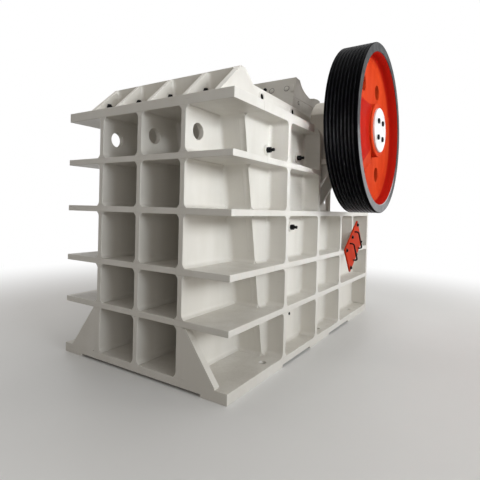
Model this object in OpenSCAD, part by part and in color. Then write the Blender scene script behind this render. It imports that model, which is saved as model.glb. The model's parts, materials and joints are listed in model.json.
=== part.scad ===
// Single-toggle jaw crusher with a welded frame of ribbed cells.
// X runs across the machine towards the belt pulley, Y runs to the rear and Z is up.
// The origin lies on the floor under the middle of the frame.

/* [Frame] */
// Length of the frame from its front edge to its rear end
frame_len = 3190; // [3100:10:3500]
// Width of the frame over its shelves and ribs
frame_w = 1700; // [1660:10:1900]
// Clear width between the side plates
inner_w = 1260; // [1200:10:1280]
// Thickness of the side plates
side_t = 50; // [30:1:60]
// Thickness of the sloping front wall
wall_t = 60; // [40:1:70]
// Lean of the front wall from upright, in degrees
wall_slope = 10.4; // [8:0.1:11]
// Distance from the front edge of the frame to the top of the front wall
wall_setback = 330; // [300:5:380]
// Height of the top of the front wall
wall_top_z = 2310; // [2260:5:2340]
// Height of the side plates beside the feed opening
side_top_z = 2218; // [2180:2:2240]
// Width of the level tip of each top gusset
gusset_tip = 80; // [50:5:100]

/* [Shelves] */
// Thickness of the foot pads
pad_t = 20; // [10:1:40]
// Thickness of the base flange
base_t = 57; // [40:1:70]
// Underside of the second shelf
shelf2_z = 437; // [420:1:450]
// Underside of the third shelf
shelf3_z = 795; // [780:1:810]
// Underside of the fourth shelf
shelf4_z = 1218; // [1200:1:1230]
// Underside of the fifth shelf
shelf5_z = 1605; // [1590:1:1620]
// Thickness of the shelves
shelf_t = 46; // [30:1:55]
// Underside of the top flange
top_z = 1975; // [1960:1:1990]
// Thickness of the top flange
top_t = 73; // [50:1:80]
// Distance from the front edge to the rear end of the top flange
top_len = 1320; // [1280:5:1380]

/* [Webs and ribs] */
// Distance of the outer front webs from the middle
web_x = 430; // [400:5:460]
// Thickness of the front webs
web_t = 42; // [30:1:60]
// Thickness of the side ribs
rib_t = 44; // [30:1:60]
// Middle of the front side rib
rib_front_y = 812; // [800:2:840]
// Middle of the side rib at the end of the tall shelves
rib_mid_y = 1483; // [1470:1:1495]
// Distance from the rear end of the frame to the middle of the rear side rib
rib_rear_inset = 1060; // [1020:5:1120]
// Distance from the rear end of the frame to the middle of the short rib behind the cover plate
rib_short_inset = 670; // [640:5:710]
// Thickness of the short rib
rib_short_t = 24; // [16:1:40]
// Radius of the fillets where webs and ribs meet the shelves
fillet_r = 36; // [15:1:45]
// Radius of the lifting holes in the front webs
lift_r = 60; // [40:1:70]
// Distance of the lifting holes from the front edge
lift_y = 140; // [120:5:170]
// Height of the spread head of the middle side rib
rib_head_z = 2027; // [2000:1:2040]
// Distance of the lifting holes below the top flange
lift_drop = 160; // [120:5:200]
// Distance of the top gussets from the middle
gusset_x = 360; // [330:5:380]
// Thickness of the top gussets
gusset_t = 40; // [25:1:50]
// Distance from the front edge to the toe of the top gussets
gusset_toe = 50; // [30:5:80]
// Radius of the weld relief in the top gussets
relief_r = 34; // [20:1:45]
// Reach of the front foot gussets along the base
foot_reach = 297; // [250:1:330]
// Thickness of the front foot gussets
foot_t = 52; // [30:1:70]
// Height of the blunt toe of the front foot gussets
foot_nose = 12; // [4:1:30]

/* [Base] */
// Length of the front foot pads
pad_front_len = 790; // [700:10:850]
// Distance from the front edge to the middle foot pads
pad_mid_y = 1343; // [1300:1:1400]
// Length of the middle foot pads
pad_mid_len = 493; // [440:1:560]
// Length of the rear foot pads
pad_rear_len = 742; // [660:1:800]
// Distance of the anchor holes from the outer edge of the base
anchor_inset = 85; // [75:1:100]
// Radius of the anchor holes
anchor_r = 30; // [20:1:32]
// Front anchor holes, from the front edge
anchor_front_y = 610; // [580:5:650]
// Middle anchor holes, from the front edge
anchor_mid_y = 1730; // [1700:5:1760]
// Rear anchor holes, from the rear end of the frame
anchor_rear_inset = 460; // [410:5:490]
// Thickness of the rear end plate
end_t = 50; // [30:1:60]
// Width of the window in the rear end plate
window_w = 760; // [600:10:900]
// Height of the window in the rear end plate
window_h = 420; // [300:10:500]

/* [Jaws] */
// Thickness of the back of a jaw plate
jaw_back = 62; // [45:1:75]
// Height of the teeth on a jaw plate
tooth_h = 34; // [20:1:40]
// Number of teeth across a jaw plate
tooth_n = 16; // [12:1:18]
// Thickness of the cheek plates
cheek_t = 30; // [20:1:40]
// Length of the lower edge of the cheek plates
cheek_foot = 460; // [420:5:500]
// Radius of the cheek bolt holes above the top flange
cheek_hole_r = 26; // [20:1:30]
// Height of the cheek bolt holes above the top flange
cheek_hole_rise = 107; // [90:1:120]
// Front cheek bolt hole above the top flange, from the front edge
cheek_hole_front_y = 639; // [600:1:700]
// Rear cheek bolt hole above the top flange, from the front edge
cheek_hole_rear_y = 1198; // [1100:1:1220]
// Gap between the jaw plates and the cheek plates
jaw_gap = 6; // [6:1:12]
// Bottom of the jaw plates
jaw_bottom_z = 260; // [240:5:300]
// Top of the jaw plates
jaw_top_z = 2200; // [2150:5:2230]
// Front face of the swing jaw casting at the top of its jaw plate
pitman_front_y = 1400; // [1380:5:1410]
// Lean of the swing jaw casting from upright, in degrees
pitman_slope = 9.2; // [8.5:0.1:10]
// Gap between the swing jaw casting and the cheek plates
pitman_gap = 15; // [10:1:25]
// Radius of the head of the swing jaw casting
head_r = 318; // [300:2:330]
// Thickness of the front wall of the swing jaw casting
pitman_wall_t = 150; // [120:5:180]
// Number of ribs across the back of the swing jaw casting
pitman_rib_n = 5; // [4:1:6]
// Thickness of the ribs across the back of the swing jaw casting
pitman_rib_t = 60; // [45:5:80]
// Thickness of the guard plates over the swing jaw head
guard_t = 30; // [16:1:36]
// Height of the front edge of the guard
guard_z = 2565; // [2540:5:2600]
// Distance from the front edge of the frame to the top of the guard
guard_y = 1460; // [1450:2:1480]
// Length of the guard behind its lowest point
tail_len = 278; // [240:2:300]
// Rise of the guard behind its lowest point
tail_rise = 41; // [20:1:60]

/* [Shaft and wheels] */
// Distance from the front edge of the frame to the shaft
shaft_y = 1820; // [1810:2:1840]
// Height of the shaft
shaft_z = 2049; // [2040:1:2060]
// Radius of the shaft inside the swing jaw
journal_r = 175; // [150:1:190]
// Radius of the shaft in the main bearings
bearing_r = 140; // [120:1:145]
// Radius of the shaft in the wheel hubs
hub_r = 120; // [90:1:125]
// Radial running clearance of the shaft
run_gap = 0.1; // [0.05:0.01:0.1]
// Half length of the flat sides of the main bearing housings
housing_r = 290; // [270:2:300]
// Distance from the middle to the inner face of a bearing housing
housing_x = 714; // [700:2:730]
// Radius of the round top of the main bearing housings
drum_r = 322; // [310:1:335]
// Length of a bearing housing along the shaft
housing_len = 206; // [180:2:220]
// Outer radius of the wheels
wheel_r = 788; // [760:2:800]
// Width of the wheel rims
rim_w = 284; // [270:2:300]
// Radial thickness of the wheel rims at their faces
rim_t = 80; // [60:2:90]
// Distance from the middle to the outer face of the wheels
wheel_x = 1325; // [1315:5:1360]
// Number of belt grooves in the pulley
groove_n = 8; // [6:1:9]
// Pitch of the belt grooves
groove_pitch = 31; // [26:0.5:31]
// Depth of the belt grooves
groove_d = 26; // [15:1:30]
// Thickness of the wheel webs
disc_t = 60; // [40:2:80]
// Depth of the wheel webs behind the rim face
disc_recess = 112; // [95:1:120]
// Radius of the wheel hubs
boss_r = 252; // [230:2:260]
// Depth of the hub faces behind the rim face
boss_recess = 32; // [28:1:60]
// Radius of the holes in the wheel webs
disc_hole_r = 74; // [50:1:85]
// Radius of the circle of holes in the wheel webs
disc_hole_pcd_r = 475; // [450:5:500]
// Turn of the wheels at rest, in degrees
wheel_turn = 3; // [-30:1:30]
// Depth of the counterweight faces behind the rim face
weight_recess = 54; // [45:1:70]
// Angle that a counterweight takes up in its wheel, in degrees
weight_angle = 96; // [80:1:100]
// Radius of the hub caps
cap_r = 208; // [180:2:220]
// Thickness of the hub caps
cap_t = 18; // [10:1:25]

/* [Toggle and tension rods] */
// Height of the rear toggle seat
toggle_rear_z = 600; // [590:5:650]
// Height of the front toggle seat
toggle_front_z = 450; // [440:5:470]
// Thickness of the toggle plate
toggle_t = 70; // [50:2:90]
// Radius of the ends of the toggle plate
toggle_end_r = 45; // [40:1:50]
// Clearance of the toggle plate at its rear seat
toggle_gap = 6; // [6:1:12]
// Distance from the rear end of the frame to the front face of the toggle beam
beam_inset = 760; // [730:5:780]
// Depth of the rear toggle beam
beam_d = 260; // [200:10:300]
// Thickness of the toggle seat block
block_t = 90; // [80:2:100]
// Height of the toggle seat block
block_h = 220; // [180:10:260]
// Thickness of the adjusting wedges
wedge_t = 36; // [20:2:50]
// Height of the adjusting wedges
wedge_h = 300; // [260:10:340]
// Radius of the tension rods
rod_r = 24; // [18:1:30]
// Distance of the tension rods from the middle
rod_x = 300; // [250:10:350]
// Height of the tension rods
rod_z = 250; // [230:5:270]
// Outer radius of the tension springs
spring_r = 78; // [60:2:90]
// Length of the tension springs
spring_len = 260; // [200:10:300]
// Radius of the wire of the tension springs
spring_wire_r = 13; // [8:0.5:15]
// Turns of the tension springs
spring_turns = 6; // [5:1:7]

/* [Cover plates] */
// Length of a side cover plate
cover_l = 535; // [500:5:560]
// Height of a side cover plate across its slope
cover_h = 330; // [300:5:350]
// Thickness of a side cover plate
cover_t = 20; // [12:1:25]
// Rise of a side cover plate towards the rear, in degrees
cover_rise = 36.5; // [30:0.5:40]
// Distance from the rear end of the frame to the middle of a side cover plate
cover_inset = 644; // [630:2:660]
// Height of the middle of a side cover plate
cover_z = 870; // [860:2:880]
// Radius of the handle bars
handle_r = 9; // [6:1:12]
// Reach of the handles from the cover plate
handle_reach = 46; // [40:1:80]
// Width of a handle between its legs
handle_w = 250; // [180:5:280]

/* [Hidden] */

$fn = 96;
seat_gap = 0.3;
joint_gap = 0.05;
outer_x = frame_w / 2;
plate_in = inner_w / 2;
plate_out = plate_in + side_t;
wall_run = wall_t / cos(wall_slope);
base_z = pad_t + base_t;
levels = [
  [pad_t, base_z], [shelf2_z, shelf2_z + shelf_t], [shelf3_z, shelf3_z + shelf_t],
  [shelf4_z, shelf4_z + shelf_t], [shelf5_z, shelf5_z + shelf_t], [top_z, top_z + top_t]
];
top_face = top_z + top_t;
low_top = shelf4_z + shelf_t;
anchor_x = outer_x - anchor_inset;
anchor_rear_y = frame_len - anchor_rear_inset;
rib_rear_y = frame_len - rib_rear_inset;
rib_short_y = frame_len - rib_short_inset;
beam_y = frame_len - beam_inset;
cover_y = frame_len - cover_inset;
tall_len = rib_mid_y + rib_t / 2;
end_y = frame_len - end_t;
chamber_half = plate_in - cheek_t;
jaw_half = chamber_half - jaw_gap;
casting_half = chamber_half - pitman_gap;
rim_in_x = wheel_x - rim_w;
housing_out = housing_x + housing_len;
pedestal_z = shaft_z - housing_r;
pedestal_t = 50;
block_y = beam_y - wedge_t - block_t;
seat_depth = 30;
seat_y = pitman_front_y - (jaw_top_z - toggle_front_z) * tan(pitman_slope) + 330;
head_top = shaft_z + head_r;
guard_foot_y = pitman_front_y + 20;
guard_foot_z = jaw_top_z + 60;
guard_back_y = shaft_y - 14;
guard_back_z = head_top + 72;

cream = [0.86, 0.84, 0.79];
red = [0.86, 0.22, 0.11];
black = [0.06, 0.06, 0.07];
steel = [0.55, 0.55, 0.56];

// Distance of the front wall's face from the front edge of the frame at height z
function wall_y(z) = wall_setback + (wall_top_z - z) * tan(wall_slope);

// Front face of the swing jaw casting at height z
function pitman_y(z) = pitman_front_y - (jaw_top_z - z) * tan(pitman_slope);

// Inner face of the front of the jaw guard at height z
function guard_inner_y(z) =
  guard_foot_y + (guard_y + guard_t - guard_foot_y) * (z - guard_foot_z) / (guard_z - guard_t - guard_foot_z);

// Moves the frame so that its middle lies over the origin
module placed() {
  translate([0, -frame_len / 2, 0]) children();
}

// Extrudes a profile drawn in Y and Z from x0 to x1
module across(x0, x1) {
  translate([x0, 0, 0]) rotate([90, 0, 90]) linear_extrude(height = x1 - x0) children();
}

// Extrudes a profile drawn in X and Z from y0 to y1
module along(y0, y1) {
  translate([0, y1, 0]) rotate([90, 0, 0]) linear_extrude(height = y1 - y0) children();
}

// Puts the same piece on the left, where it is mirrored, or on the right
module on_side(side) {
  mirror([side < 0 ? 1 : 0, 0, 0]) children();
}

// Upright strip of thickness t and height h that widens by a fillet at both ends
module filleted_strip(t, h, r) {
  toe = 2;
  difference() {
    translate([-t / 2 - r, 0]) square([t + 2 * r, h]);
    for (side = [-1, 1]) {
      for (z = [r + toe, h - r - toe]) translate([side * (t / 2 + r), z]) circle(r);
      translate([side * (t / 2 + r) - r, r + toe]) square([2 * r, h - 2 * r - 2 * toe]);
    }
  }
}

// Profile from the front edge back to the front wall between two heights
module front_profile(z0, z1) {
  polygon([[0, z0], [wall_y(z0) - joint_gap, z0], [wall_y(z1) - joint_gap, z1], [0, z1]]);
}

// Profile from the front wall's line back to y between two heights
module side_profile(z0, z1, y) {
  polygon([[wall_y(z0), z0], [y, z0], [y, z1], [wall_y(z1), z1]]);
}

module front_strip(level) {
  across(-outer_x, outer_x) front_profile(level[0], level[1]);
}

module side_strip(level, y) {
  across(plate_out, outer_x) side_profile(level[0], level[1], y);
}

module anchor_holes(ys) {
  for (side = [-1, 1], y = ys)
    translate([side * anchor_x, y, -1]) cylinder(h = base_z + 2, r = anchor_r);
}

module base_flange_front() {
  color(cream) placed() difference() {
    across(-outer_x, outer_x)
      polygon([[0, pad_t], [wall_y(base_z) + wall_run, pad_t], [wall_y(base_z) + wall_run, base_z], [0, base_z]]);
    anchor_holes([anchor_front_y]);
  }
}

module base_side(side) {
  start = wall_y(base_z) + wall_run;
  color(cream) placed() difference() {
    on_side(side) translate([plate_in, start, pad_t]) cube([outer_x - plate_in, frame_len - start, base_t]);
    anchor_holes([anchor_mid_y, anchor_rear_y]);
  }
}

module base_flange_left() { base_side(-1); }
module base_flange_right() { base_side(1); }

module base_flange_rear() {
  color(cream) placed()
    translate([-plate_in, beam_y, pad_t]) cube([inner_w, frame_len - beam_y, base_t]);
}

module foot_pads() {
  pads = [[0, pad_front_len], [pad_mid_y, pad_mid_len], [frame_len - pad_rear_len, pad_rear_len]];
  color(cream) placed() difference() {
    for (side = [-1, 1], pad = pads) on_side(side)
      translate([plate_in, pad[0], 0]) cube([outer_x - plate_in, pad[1], pad_t]);
    anchor_holes([anchor_front_y, anchor_mid_y, anchor_rear_y]);
  }
}

module front_shelves() {
  color(cream) placed() for (i = [1:4]) front_strip(levels[i]);
}

module side_shelves(side) {
  color(cream) placed() on_side(side) {
    for (i = [1:3]) side_strip(levels[i], end_y);
    side_strip(levels[4], tall_len);
  }
}

module side_shelves_left() { side_shelves(-1); }
module side_shelves_right() { side_shelves(1); }

module top_flange_front() {
  color(cream) placed() front_strip(levels[5]);
}

module top_flange_side(side) {
  color(cream) placed() on_side(side) side_strip(levels[5], top_len);
}

module top_flange_left() { top_flange_side(-1); }
module top_flange_right() { top_flange_side(1); }

// One web between the front edge and the front wall, cut by every shelf
module front_web(x) {
  color(cream) placed() difference() {
    for (i = [0:4]) {
      z0 = levels[i][1];
      z1 = levels[i + 1][0];
      intersection() {
        along(0, wall_y(z0)) translate([x, z0]) filleted_strip(web_t, z1 - z0, fillet_r);
        across(x - web_t, x + web_t) front_profile(z0, z1);
      }
    }
    translate([x - web_t, lift_y, top_z - lift_drop]) rotate([0, 90, 0]) cylinder(h = 2 * web_t, r = lift_r);
  }
}

module front_web_left() { front_web(-web_x); }
module front_web_centre() { front_web(0); }
module front_web_right() { front_web(web_x); }

// One stretch of side rib between two heights, centred on y
module rib_stretch(y, t, z0, z1) {
  across(plate_out, outer_x) translate([y, z0]) filleted_strip(t, z1 - z0, fillet_r);
}

module side_ribs(side) {
  color(cream) placed() on_side(side) {
    for (i = [0:4]) rib_stretch(rib_front_y, rib_t, levels[i][1], levels[i + 1][0]);
    for (i = [0:3]) rib_stretch(rib_mid_y, rib_t, levels[i][1], levels[i + 1][0]);
    across(plate_out, outer_x) translate([rib_mid_y, 0]) polygon([
      [-rib_t / 2, levels[4][1]], [rib_t / 2, levels[4][1]], [rib_t / 2, rib_head_z - 140],
      [rib_t / 2 + 18, rib_head_z - 46], [-rib_t / 2 - 57, rib_head_z],
      [-rib_t / 2 - 13, rib_head_z - 43], [-rib_t / 2, rib_head_z - 110]
    ]);
    for (i = [0:2]) rib_stretch(rib_rear_y, rib_t, levels[i][1], levels[i + 1][0]);
    rib_stretch(rib_short_y, rib_short_t, levels[2][1], levels[3][0]);
  }
}

module side_ribs_left() { side_ribs(-1); }
module side_ribs_right() { side_ribs(1); }

module front_wall() {
  color(cream) placed() across(-plate_in, plate_in) polygon([
    [wall_y(base_z), base_z], [wall_y(base_z) + wall_run, base_z],
    [wall_y(wall_top_z) + wall_run, wall_top_z], [wall_y(wall_top_z), wall_top_z]
  ]);
}

// Side plate with its raised front corner, its bearing seat and its low rear part
module side_plate(side) {
  rear_y = shaft_y + 110;
  slot_r = journal_r + 30;
  tip_y = wall_setback;
  tip_end = wall_setback + gusset_tip;
  color(cream) placed() on_side(side) difference() {
    across(plate_in, plate_out) polygon([
      [wall_y(base_z), base_z], [end_y, base_z], [end_y, low_top], [rear_y + 270, low_top],
      [rear_y, low_top + 160], [rear_y, pedestal_z - pedestal_t - 60],
      [shaft_y + housing_r, pedestal_z + 60], [shaft_y + housing_r, shaft_z + 20],
      [shaft_y - housing_r, side_top_z - 20], [top_len - 65, side_top_z], [tip_end + 160, side_top_z + 26],
      [tip_end, wall_top_z], [tip_y, wall_top_z], [gusset_toe, top_face], [wall_y(top_face), top_face]
    ]);
    translate([plate_in - 1, shaft_y, shaft_z]) rotate([0, 90, 0]) cylinder(h = side_t + 2, r = slot_r);
    translate([plate_in - 1, shaft_y - slot_r, shaft_z]) cube([side_t + 2, 2 * slot_r, housing_r]);
    for (y = [cheek_hole_front_y, cheek_hole_rear_y])
      translate([plate_in - 1, y, top_face + cheek_hole_rise]) rotate([0, 90, 0]) cylinder(h = side_t + 2, r = cheek_hole_r);
  }
}

module side_plate_left() { side_plate(-1); }
module side_plate_right() { side_plate(1); }

module top_gussets() {
  color(cream) placed() for (x = [-gusset_x, 0, gusset_x])
    across(x - gusset_t / 2, x + gusset_t / 2) difference() {
      polygon([
        [gusset_toe, top_face], [wall_y(top_face) - joint_gap, top_face],
        [wall_y(wall_top_z - 12) - joint_gap, wall_top_z - 12], [wall_setback - 20, wall_top_z - 12]
      ]);
      translate([wall_y(top_face), top_face]) circle(relief_r);
    }
}

module foot_gussets() {
  edge = web_x + web_t / 2;
  color(cream) placed() for (side = [-1, 1]) on_side(side)
    along(0, foot_t) difference() {
      polygon([
        [edge, base_z], [edge + foot_reach, base_z], [edge + foot_reach, base_z + foot_nose],
        [edge + fillet_r, shelf2_z], [edge, shelf2_z]
      ]);
      translate([web_x, base_z]) filleted_strip(web_t, shelf2_z - base_z, fillet_r);
    }
}

module rear_end_plate() {
  window_z = (base_z + low_top) / 2;
  color(cream) placed() difference() {
    translate([-outer_x, end_y, base_z]) cube([frame_w, end_t, low_top - base_z]);
    along(end_y - 1, frame_len + 1) {
      square_w = window_w - 2 * fillet_r;
      square_h = window_h - 2 * fillet_r;
      translate([-window_w / 2, window_z - square_h / 2]) square([window_w, square_h]);
      translate([-square_w / 2, window_z - window_h / 2]) square([square_w, window_h]);
      for (x = [-1, 1], z = [-1, 1])
        translate([x * square_w / 2, window_z + z * square_h / 2]) circle(fillet_r);
    }
  }
}

// Cross beam that takes the push of the toggle plate
module toggle_beam() {
  half_h = 190;
  color(cream) placed() difference() {
    across(-plate_in, plate_in) polygon([
      [beam_y, toggle_rear_z - half_h], [beam_y + beam_d - 40, base_z], [beam_y + beam_d, base_z],
      [beam_y + beam_d, toggle_rear_z + half_h], [beam_y, toggle_rear_z + half_h]
    ]);
    for (side = [-1, 1]) rod_between(side, beam_y - 1, beam_y + beam_d + 1, rod_r + seat_gap);
  }
}

// Cylinder along a tension rod from y0 to y1
module rod_between(side, y0, y1, r) {
  translate([side * rod_x, y0, rod_z]) rotate([-90, 0, 0]) cylinder(h = y1 - y0, r = r);
}

module toggle_block() {
  color(cream) placed() difference() {
    translate([-casting_half, block_y, toggle_rear_z - block_h / 2]) cube([2 * casting_half, block_t, block_h]);
    translate([-casting_half - 1, block_y - toggle_gap, toggle_rear_z]) rotate([0, 90, 0])
      cylinder(h = 2 * casting_half + 2, r = toggle_end_r + toggle_gap);
  }
}

module adjusting_wedges() {
  color(steel) placed()
    translate([-casting_half, beam_y - wedge_t, toggle_rear_z - wedge_h / 2])
      cube([2 * casting_half, wedge_t, wedge_h]);
}

module bearing_pedestal(side) {
  wing = 40;
  color(cream) placed() on_side(side) {
    translate([plate_out, tall_len, pedestal_z - pedestal_t])
      cube([housing_out - plate_out, shaft_y + housing_r - tall_len, pedestal_t]);
    for (y = [tall_len + fillet_r, shaft_y + 20])
      along(y, y + wing) polygon([
        [plate_out, low_top + 60], [plate_out + 40, low_top + 60],
        [housing_out, pedestal_z - pedestal_t - 50], [housing_out, pedestal_z - pedestal_t],
        [plate_out, pedestal_z - pedestal_t]
      ]);
  }
}

module bearing_pedestal_left() { bearing_pedestal(-1); }
module bearing_pedestal_right() { bearing_pedestal(1); }

module bearing_housing(side) {
  color(cream) placed() on_side(side) difference() {
    across(housing_x, housing_out) {
      translate([shaft_y - housing_r, pedestal_z]) square([2 * housing_r, housing_r]);
      intersection() {
        translate([shaft_y, shaft_z]) circle(drum_r);
        translate([shaft_y - housing_r, pedestal_z]) square([2 * housing_r, housing_r + drum_r]);
      }
    }
    translate([housing_x - 1, shaft_y, shaft_z]) rotate([0, 90, 0])
      cylinder(h = housing_len + 2, r = bearing_r + run_gap);
  }
}

module bearing_housing_left() { bearing_housing(-1); }
module bearing_housing_right() { bearing_housing(1); }

// Toothed wear plate of half width half_w and length l, with its teeth towards +Y
module toothed_plate(half_w, l) {
  pitch = 2 * half_w / tooth_n;
  linear_extrude(height = l) polygon(concat(
    [[-half_w, 0], [half_w, 0]],
    [for (i = [tooth_n - 1:-1:0]) let(x = -half_w + i * pitch) each [
      [x + pitch, jaw_back], [x + 0.68 * pitch, jaw_back + tooth_h],
      [x + 0.32 * pitch, jaw_back + tooth_h], [x, jaw_back]
    ]]
  ));
}

module fixed_jaw_plate() {
  l = (jaw_top_z - jaw_bottom_z) / cos(wall_slope);
  color(steel) placed()
    translate([0, wall_y(jaw_bottom_z) + wall_run + joint_gap, jaw_bottom_z]) rotate([wall_slope, 0, 0])
      toothed_plate(jaw_half, l);
}

module cheek_plate(side) {
  z0 = jaw_bottom_z + 80;
  z1 = jaw_top_z - 20;
  gap = wall_run + 10;
  color(steel) placed() on_side(side) across(chamber_half, plate_in) polygon([
    [wall_y(z0) + gap, z0], [wall_y(z0) + gap + cheek_foot, z0],
    [pitman_front_y + 40, z1], [wall_y(z1) + gap, z1]
  ]);
}

module cheek_plate_left() { cheek_plate(-1); }
module cheek_plate_right() { cheek_plate(1); }

// Puts a piece drawn on the XY plane onto the slope of a side cover plate
module on_cover(side) {
  placed() on_side(side) translate([outer_x, cover_y, cover_z]) rotate([cover_rise, 0, 0])
    rotate([90, 0, 90]) children();
}

module cover_plate(side) {
  color(red) on_cover(side) translate([-cover_l / 2, -cover_h / 2, 0]) cube([cover_l, cover_h, cover_t]);
}

module cover_plate_left() { cover_plate(-1); }
module cover_plate_right() { cover_plate(1); }

module handle() {
  bend = 3 * handle_r;
  leg = handle_reach - bend;
  for (end = [-1, 1]) {
    translate([end * handle_w / 2, 0, 0]) cylinder(h = leg, r = handle_r);
    translate([end * (handle_w / 2 - bend), 0, leg]) rotate([90, 0, 0])
      rotate([0, 0, end > 0 ? 0 : 90]) rotate_extrude(angle = 90) translate([bend, 0]) circle(handle_r, $fn = 24);
  }
  translate([-handle_w / 2 + bend, 0, handle_reach]) rotate([0, 90, 0])
    cylinder(h = handle_w - 2 * bend, r = handle_r);
}

module cover_handles() {
  color(black) for (side = [-1, 1], v = [-1, 1])
    on_cover(side) translate([v * cover_l / 5, 0, cover_t]) rotate([0, 0, 90]) handle();
}

module tension_rods() {
  rod_start = pitman_y(rod_z) + 420;
  spring_end = beam_y + beam_d + spring_len;
  washer_t = 20;
  nut_t = 40;
  color(black) placed() for (side = [-1, 1]) {
    rod_between(side, rod_start, spring_end + washer_t + nut_t + 30, rod_r);
    rod_between(side, spring_end, spring_end + washer_t, spring_r);
    rod_between(side, spring_end, spring_end + washer_t + nut_t, rod_r * 1.7, $fn = 6);
  }
}

// Coil of round wire along +Z from z = 0 to z = l, with mean radius r
module coil(r, wire_r, l, turns) {
  per_turn = 18;
  sides = 8;
  steps = per_turn * turns;
  rise = (l - 2 * wire_r) / steps;
  rings = [for (i = [0:steps], j = [0:sides - 1])
    let(a = 360 * i / per_turn, b = 360 * j / sides, reach = r + wire_r * cos(b))
    [reach * cos(a), reach * sin(a), wire_r + rise * i + wire_r * sin(b)]];
  walls = [for (i = [0:steps - 1], j = [0:sides - 1])
    let(p = i * sides + j, q = i * sides + (j + 1) % sides)
    each [[p, p + sides, q], [q, p + sides, q + sides]]];
  start = [for (j = [1:sides - 2]) [0, j, j + 1]];
  end = [for (j = [1:sides - 2]) [steps * sides, steps * sides + j + 1, steps * sides + j]];
  polyhedron(points = rings, faces = concat(start, walls, end));
}

module tension_springs() {
  color(steel) placed() for (side = [-1, 1])
    translate([side * rod_x, beam_y + beam_d + seat_gap, rod_z]) rotate([-90, 0, 0])
      coil(spring_r - spring_wire_r, spring_wire_r, spring_len - 2 * seat_gap, spring_turns);
}

// Pockets between the ribs on the back of the swing jaw casting
module pitman_pockets() {
  z0 = toggle_front_z + 340;
  z1 = shaft_z - head_r - 40;
  step = (2 * casting_half - pitman_rib_t) / (pitman_rib_n - 1);
  for (i = [0:pitman_rib_n - 2]) {
    x = -casting_half + pitman_rib_t + i * step;
    across(x, x + step - pitman_rib_t) polygon([
      [pitman_y(z0) + pitman_wall_t, z0], [shaft_y, z0 - 60],
      [shaft_y + head_r, z1], [pitman_y(z1) + pitman_wall_t + 40, z1], [pitman_y(z1) + pitman_wall_t, z1 - 60]
    ]);
  }
}

// Swing jaw casting with its shaft bore, sloped face, ribbed back and rear toggle seat
module swing_jaw_casting() {
  color(cream) placed() difference() {
    across(-casting_half, casting_half) union() {
      translate([shaft_y, shaft_z]) circle(head_r);
      polygon([
        [pitman_y(jaw_bottom_z), jaw_bottom_z], [pitman_y(jaw_bottom_z) + 300, jaw_bottom_z],
        [seat_y, toggle_front_z - 90], [seat_y, toggle_front_z + 110],
        [seat_y - 60, toggle_front_z + 260], [shaft_y + head_r - 90, shaft_z - 200],
        [shaft_y, head_top], [guard_inner_y(head_top), head_top], [guard_foot_y, guard_foot_z],
        [pitman_front_y, jaw_top_z]
      ]);
    }
    translate([-casting_half - 1, shaft_y, shaft_z]) rotate([0, 90, 0])
      cylinder(h = 2 * casting_half + 2, r = journal_r + run_gap);
    translate([-casting_half - 1, seat_y + toggle_end_r - seat_depth, toggle_front_z]) rotate([0, 90, 0])
      cylinder(h = 2 * casting_half + 2, r = toggle_end_r + seat_gap);
    pitman_pockets();
  }
}

module swing_jaw_plate() {
  l = (jaw_top_z - jaw_bottom_z) / cos(pitman_slope);
  color(steel) placed()
    translate([0, pitman_y(jaw_bottom_z) - joint_gap, jaw_bottom_z]) rotate([-pitman_slope, 0, 0])
      mirror([0, 1, 0]) toothed_plate(jaw_half, l);
}

// Height of the lower edge of the guard behind the shaft, just clear of the round head
function tail_z(y) = shaft_z + sqrt(pow(head_r + 4, 2) - pow(y - shaft_y, 2));

// Bent guard over the head of the swing jaw, with closed ends
module jaw_guard() {
  foot = [[guard_foot_y - guard_t, guard_foot_z], [guard_foot_y, guard_foot_z]];
  dip = guard_z - guard_back_z;
  run = guard_back_y - guard_y;
  tail_y = guard_back_y + tail_len;
  last_y = tail_y - guard_t;
  front = [for (p = [[0.26, 0.06], [0.34, 0.32], [0.44, 0.54], [0.56, 0.70], [0.7, 0.83], [0.85, 0.93], [1, 1]])
    [guard_y + p[0] * run, guard_z - p[1] * dip]];
  rear = [for (p = [[0.4, 0.7], [0.74, 1], [1, 0.97]])
    [guard_back_y + p[0] * tail_len, guard_back_z + p[1] * tail_rise]];
  top = concat(front, rear);
  back_edge = [for (i = [len(top) - 1:-1:0]) top[i]];
  under = concat([for (p = front) [p[0] - guard_t / 3, p[1] - guard_t]],
    [[rear[0][0], rear[0][1] - guard_t], [rear[1][0], rear[1][1] - guard_t], [last_y, rear[2][1] - guard_t]]);
  tail = [[last_y, tail_z(last_y)], [tail_y, tail_z(tail_y)]];
  color(cream) placed() {
    across(-casting_half, casting_half) polygon(concat(
      foot, [[guard_y + guard_t, guard_z - guard_t]], under, tail, back_edge, [[guard_y, guard_z]]
    ));
    for (side = [-1, 1]) on_side(side) across(casting_half - guard_t, casting_half)
      polygon(concat([[guard_inner_y(head_top), head_top], [guard_back_y, head_top]],
        [for (f = [0:0.25:0.75]) let(y = shaft_y + f * (last_y - shaft_y)) [y, tail_z(y)]],
        tail, back_edge, [[guard_y, guard_z]], foot));
  }
}

module toggle_plate() {
  front_y = seat_y + toggle_end_r - seat_depth;
  rear_y = block_y - toggle_gap;
  run = rear_y - front_y;
  rise = toggle_rear_z - toggle_front_z;
  half = casting_half - 40;
  color(steel) placed() {
    translate([-half, front_y, toggle_front_z]) rotate([0, 90, 0]) cylinder(h = 2 * half, r = toggle_end_r);
    translate([-half, rear_y, toggle_rear_z]) rotate([0, 90, 0]) cylinder(h = 2 * half, r = toggle_end_r);
    translate([-half, front_y, toggle_front_z]) rotate([atan2(rise, run), 0, 0])
      translate([0, 0, -toggle_t / 2]) cube([2 * half, norm([run, rise]), toggle_t]);
  }
}

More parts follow.
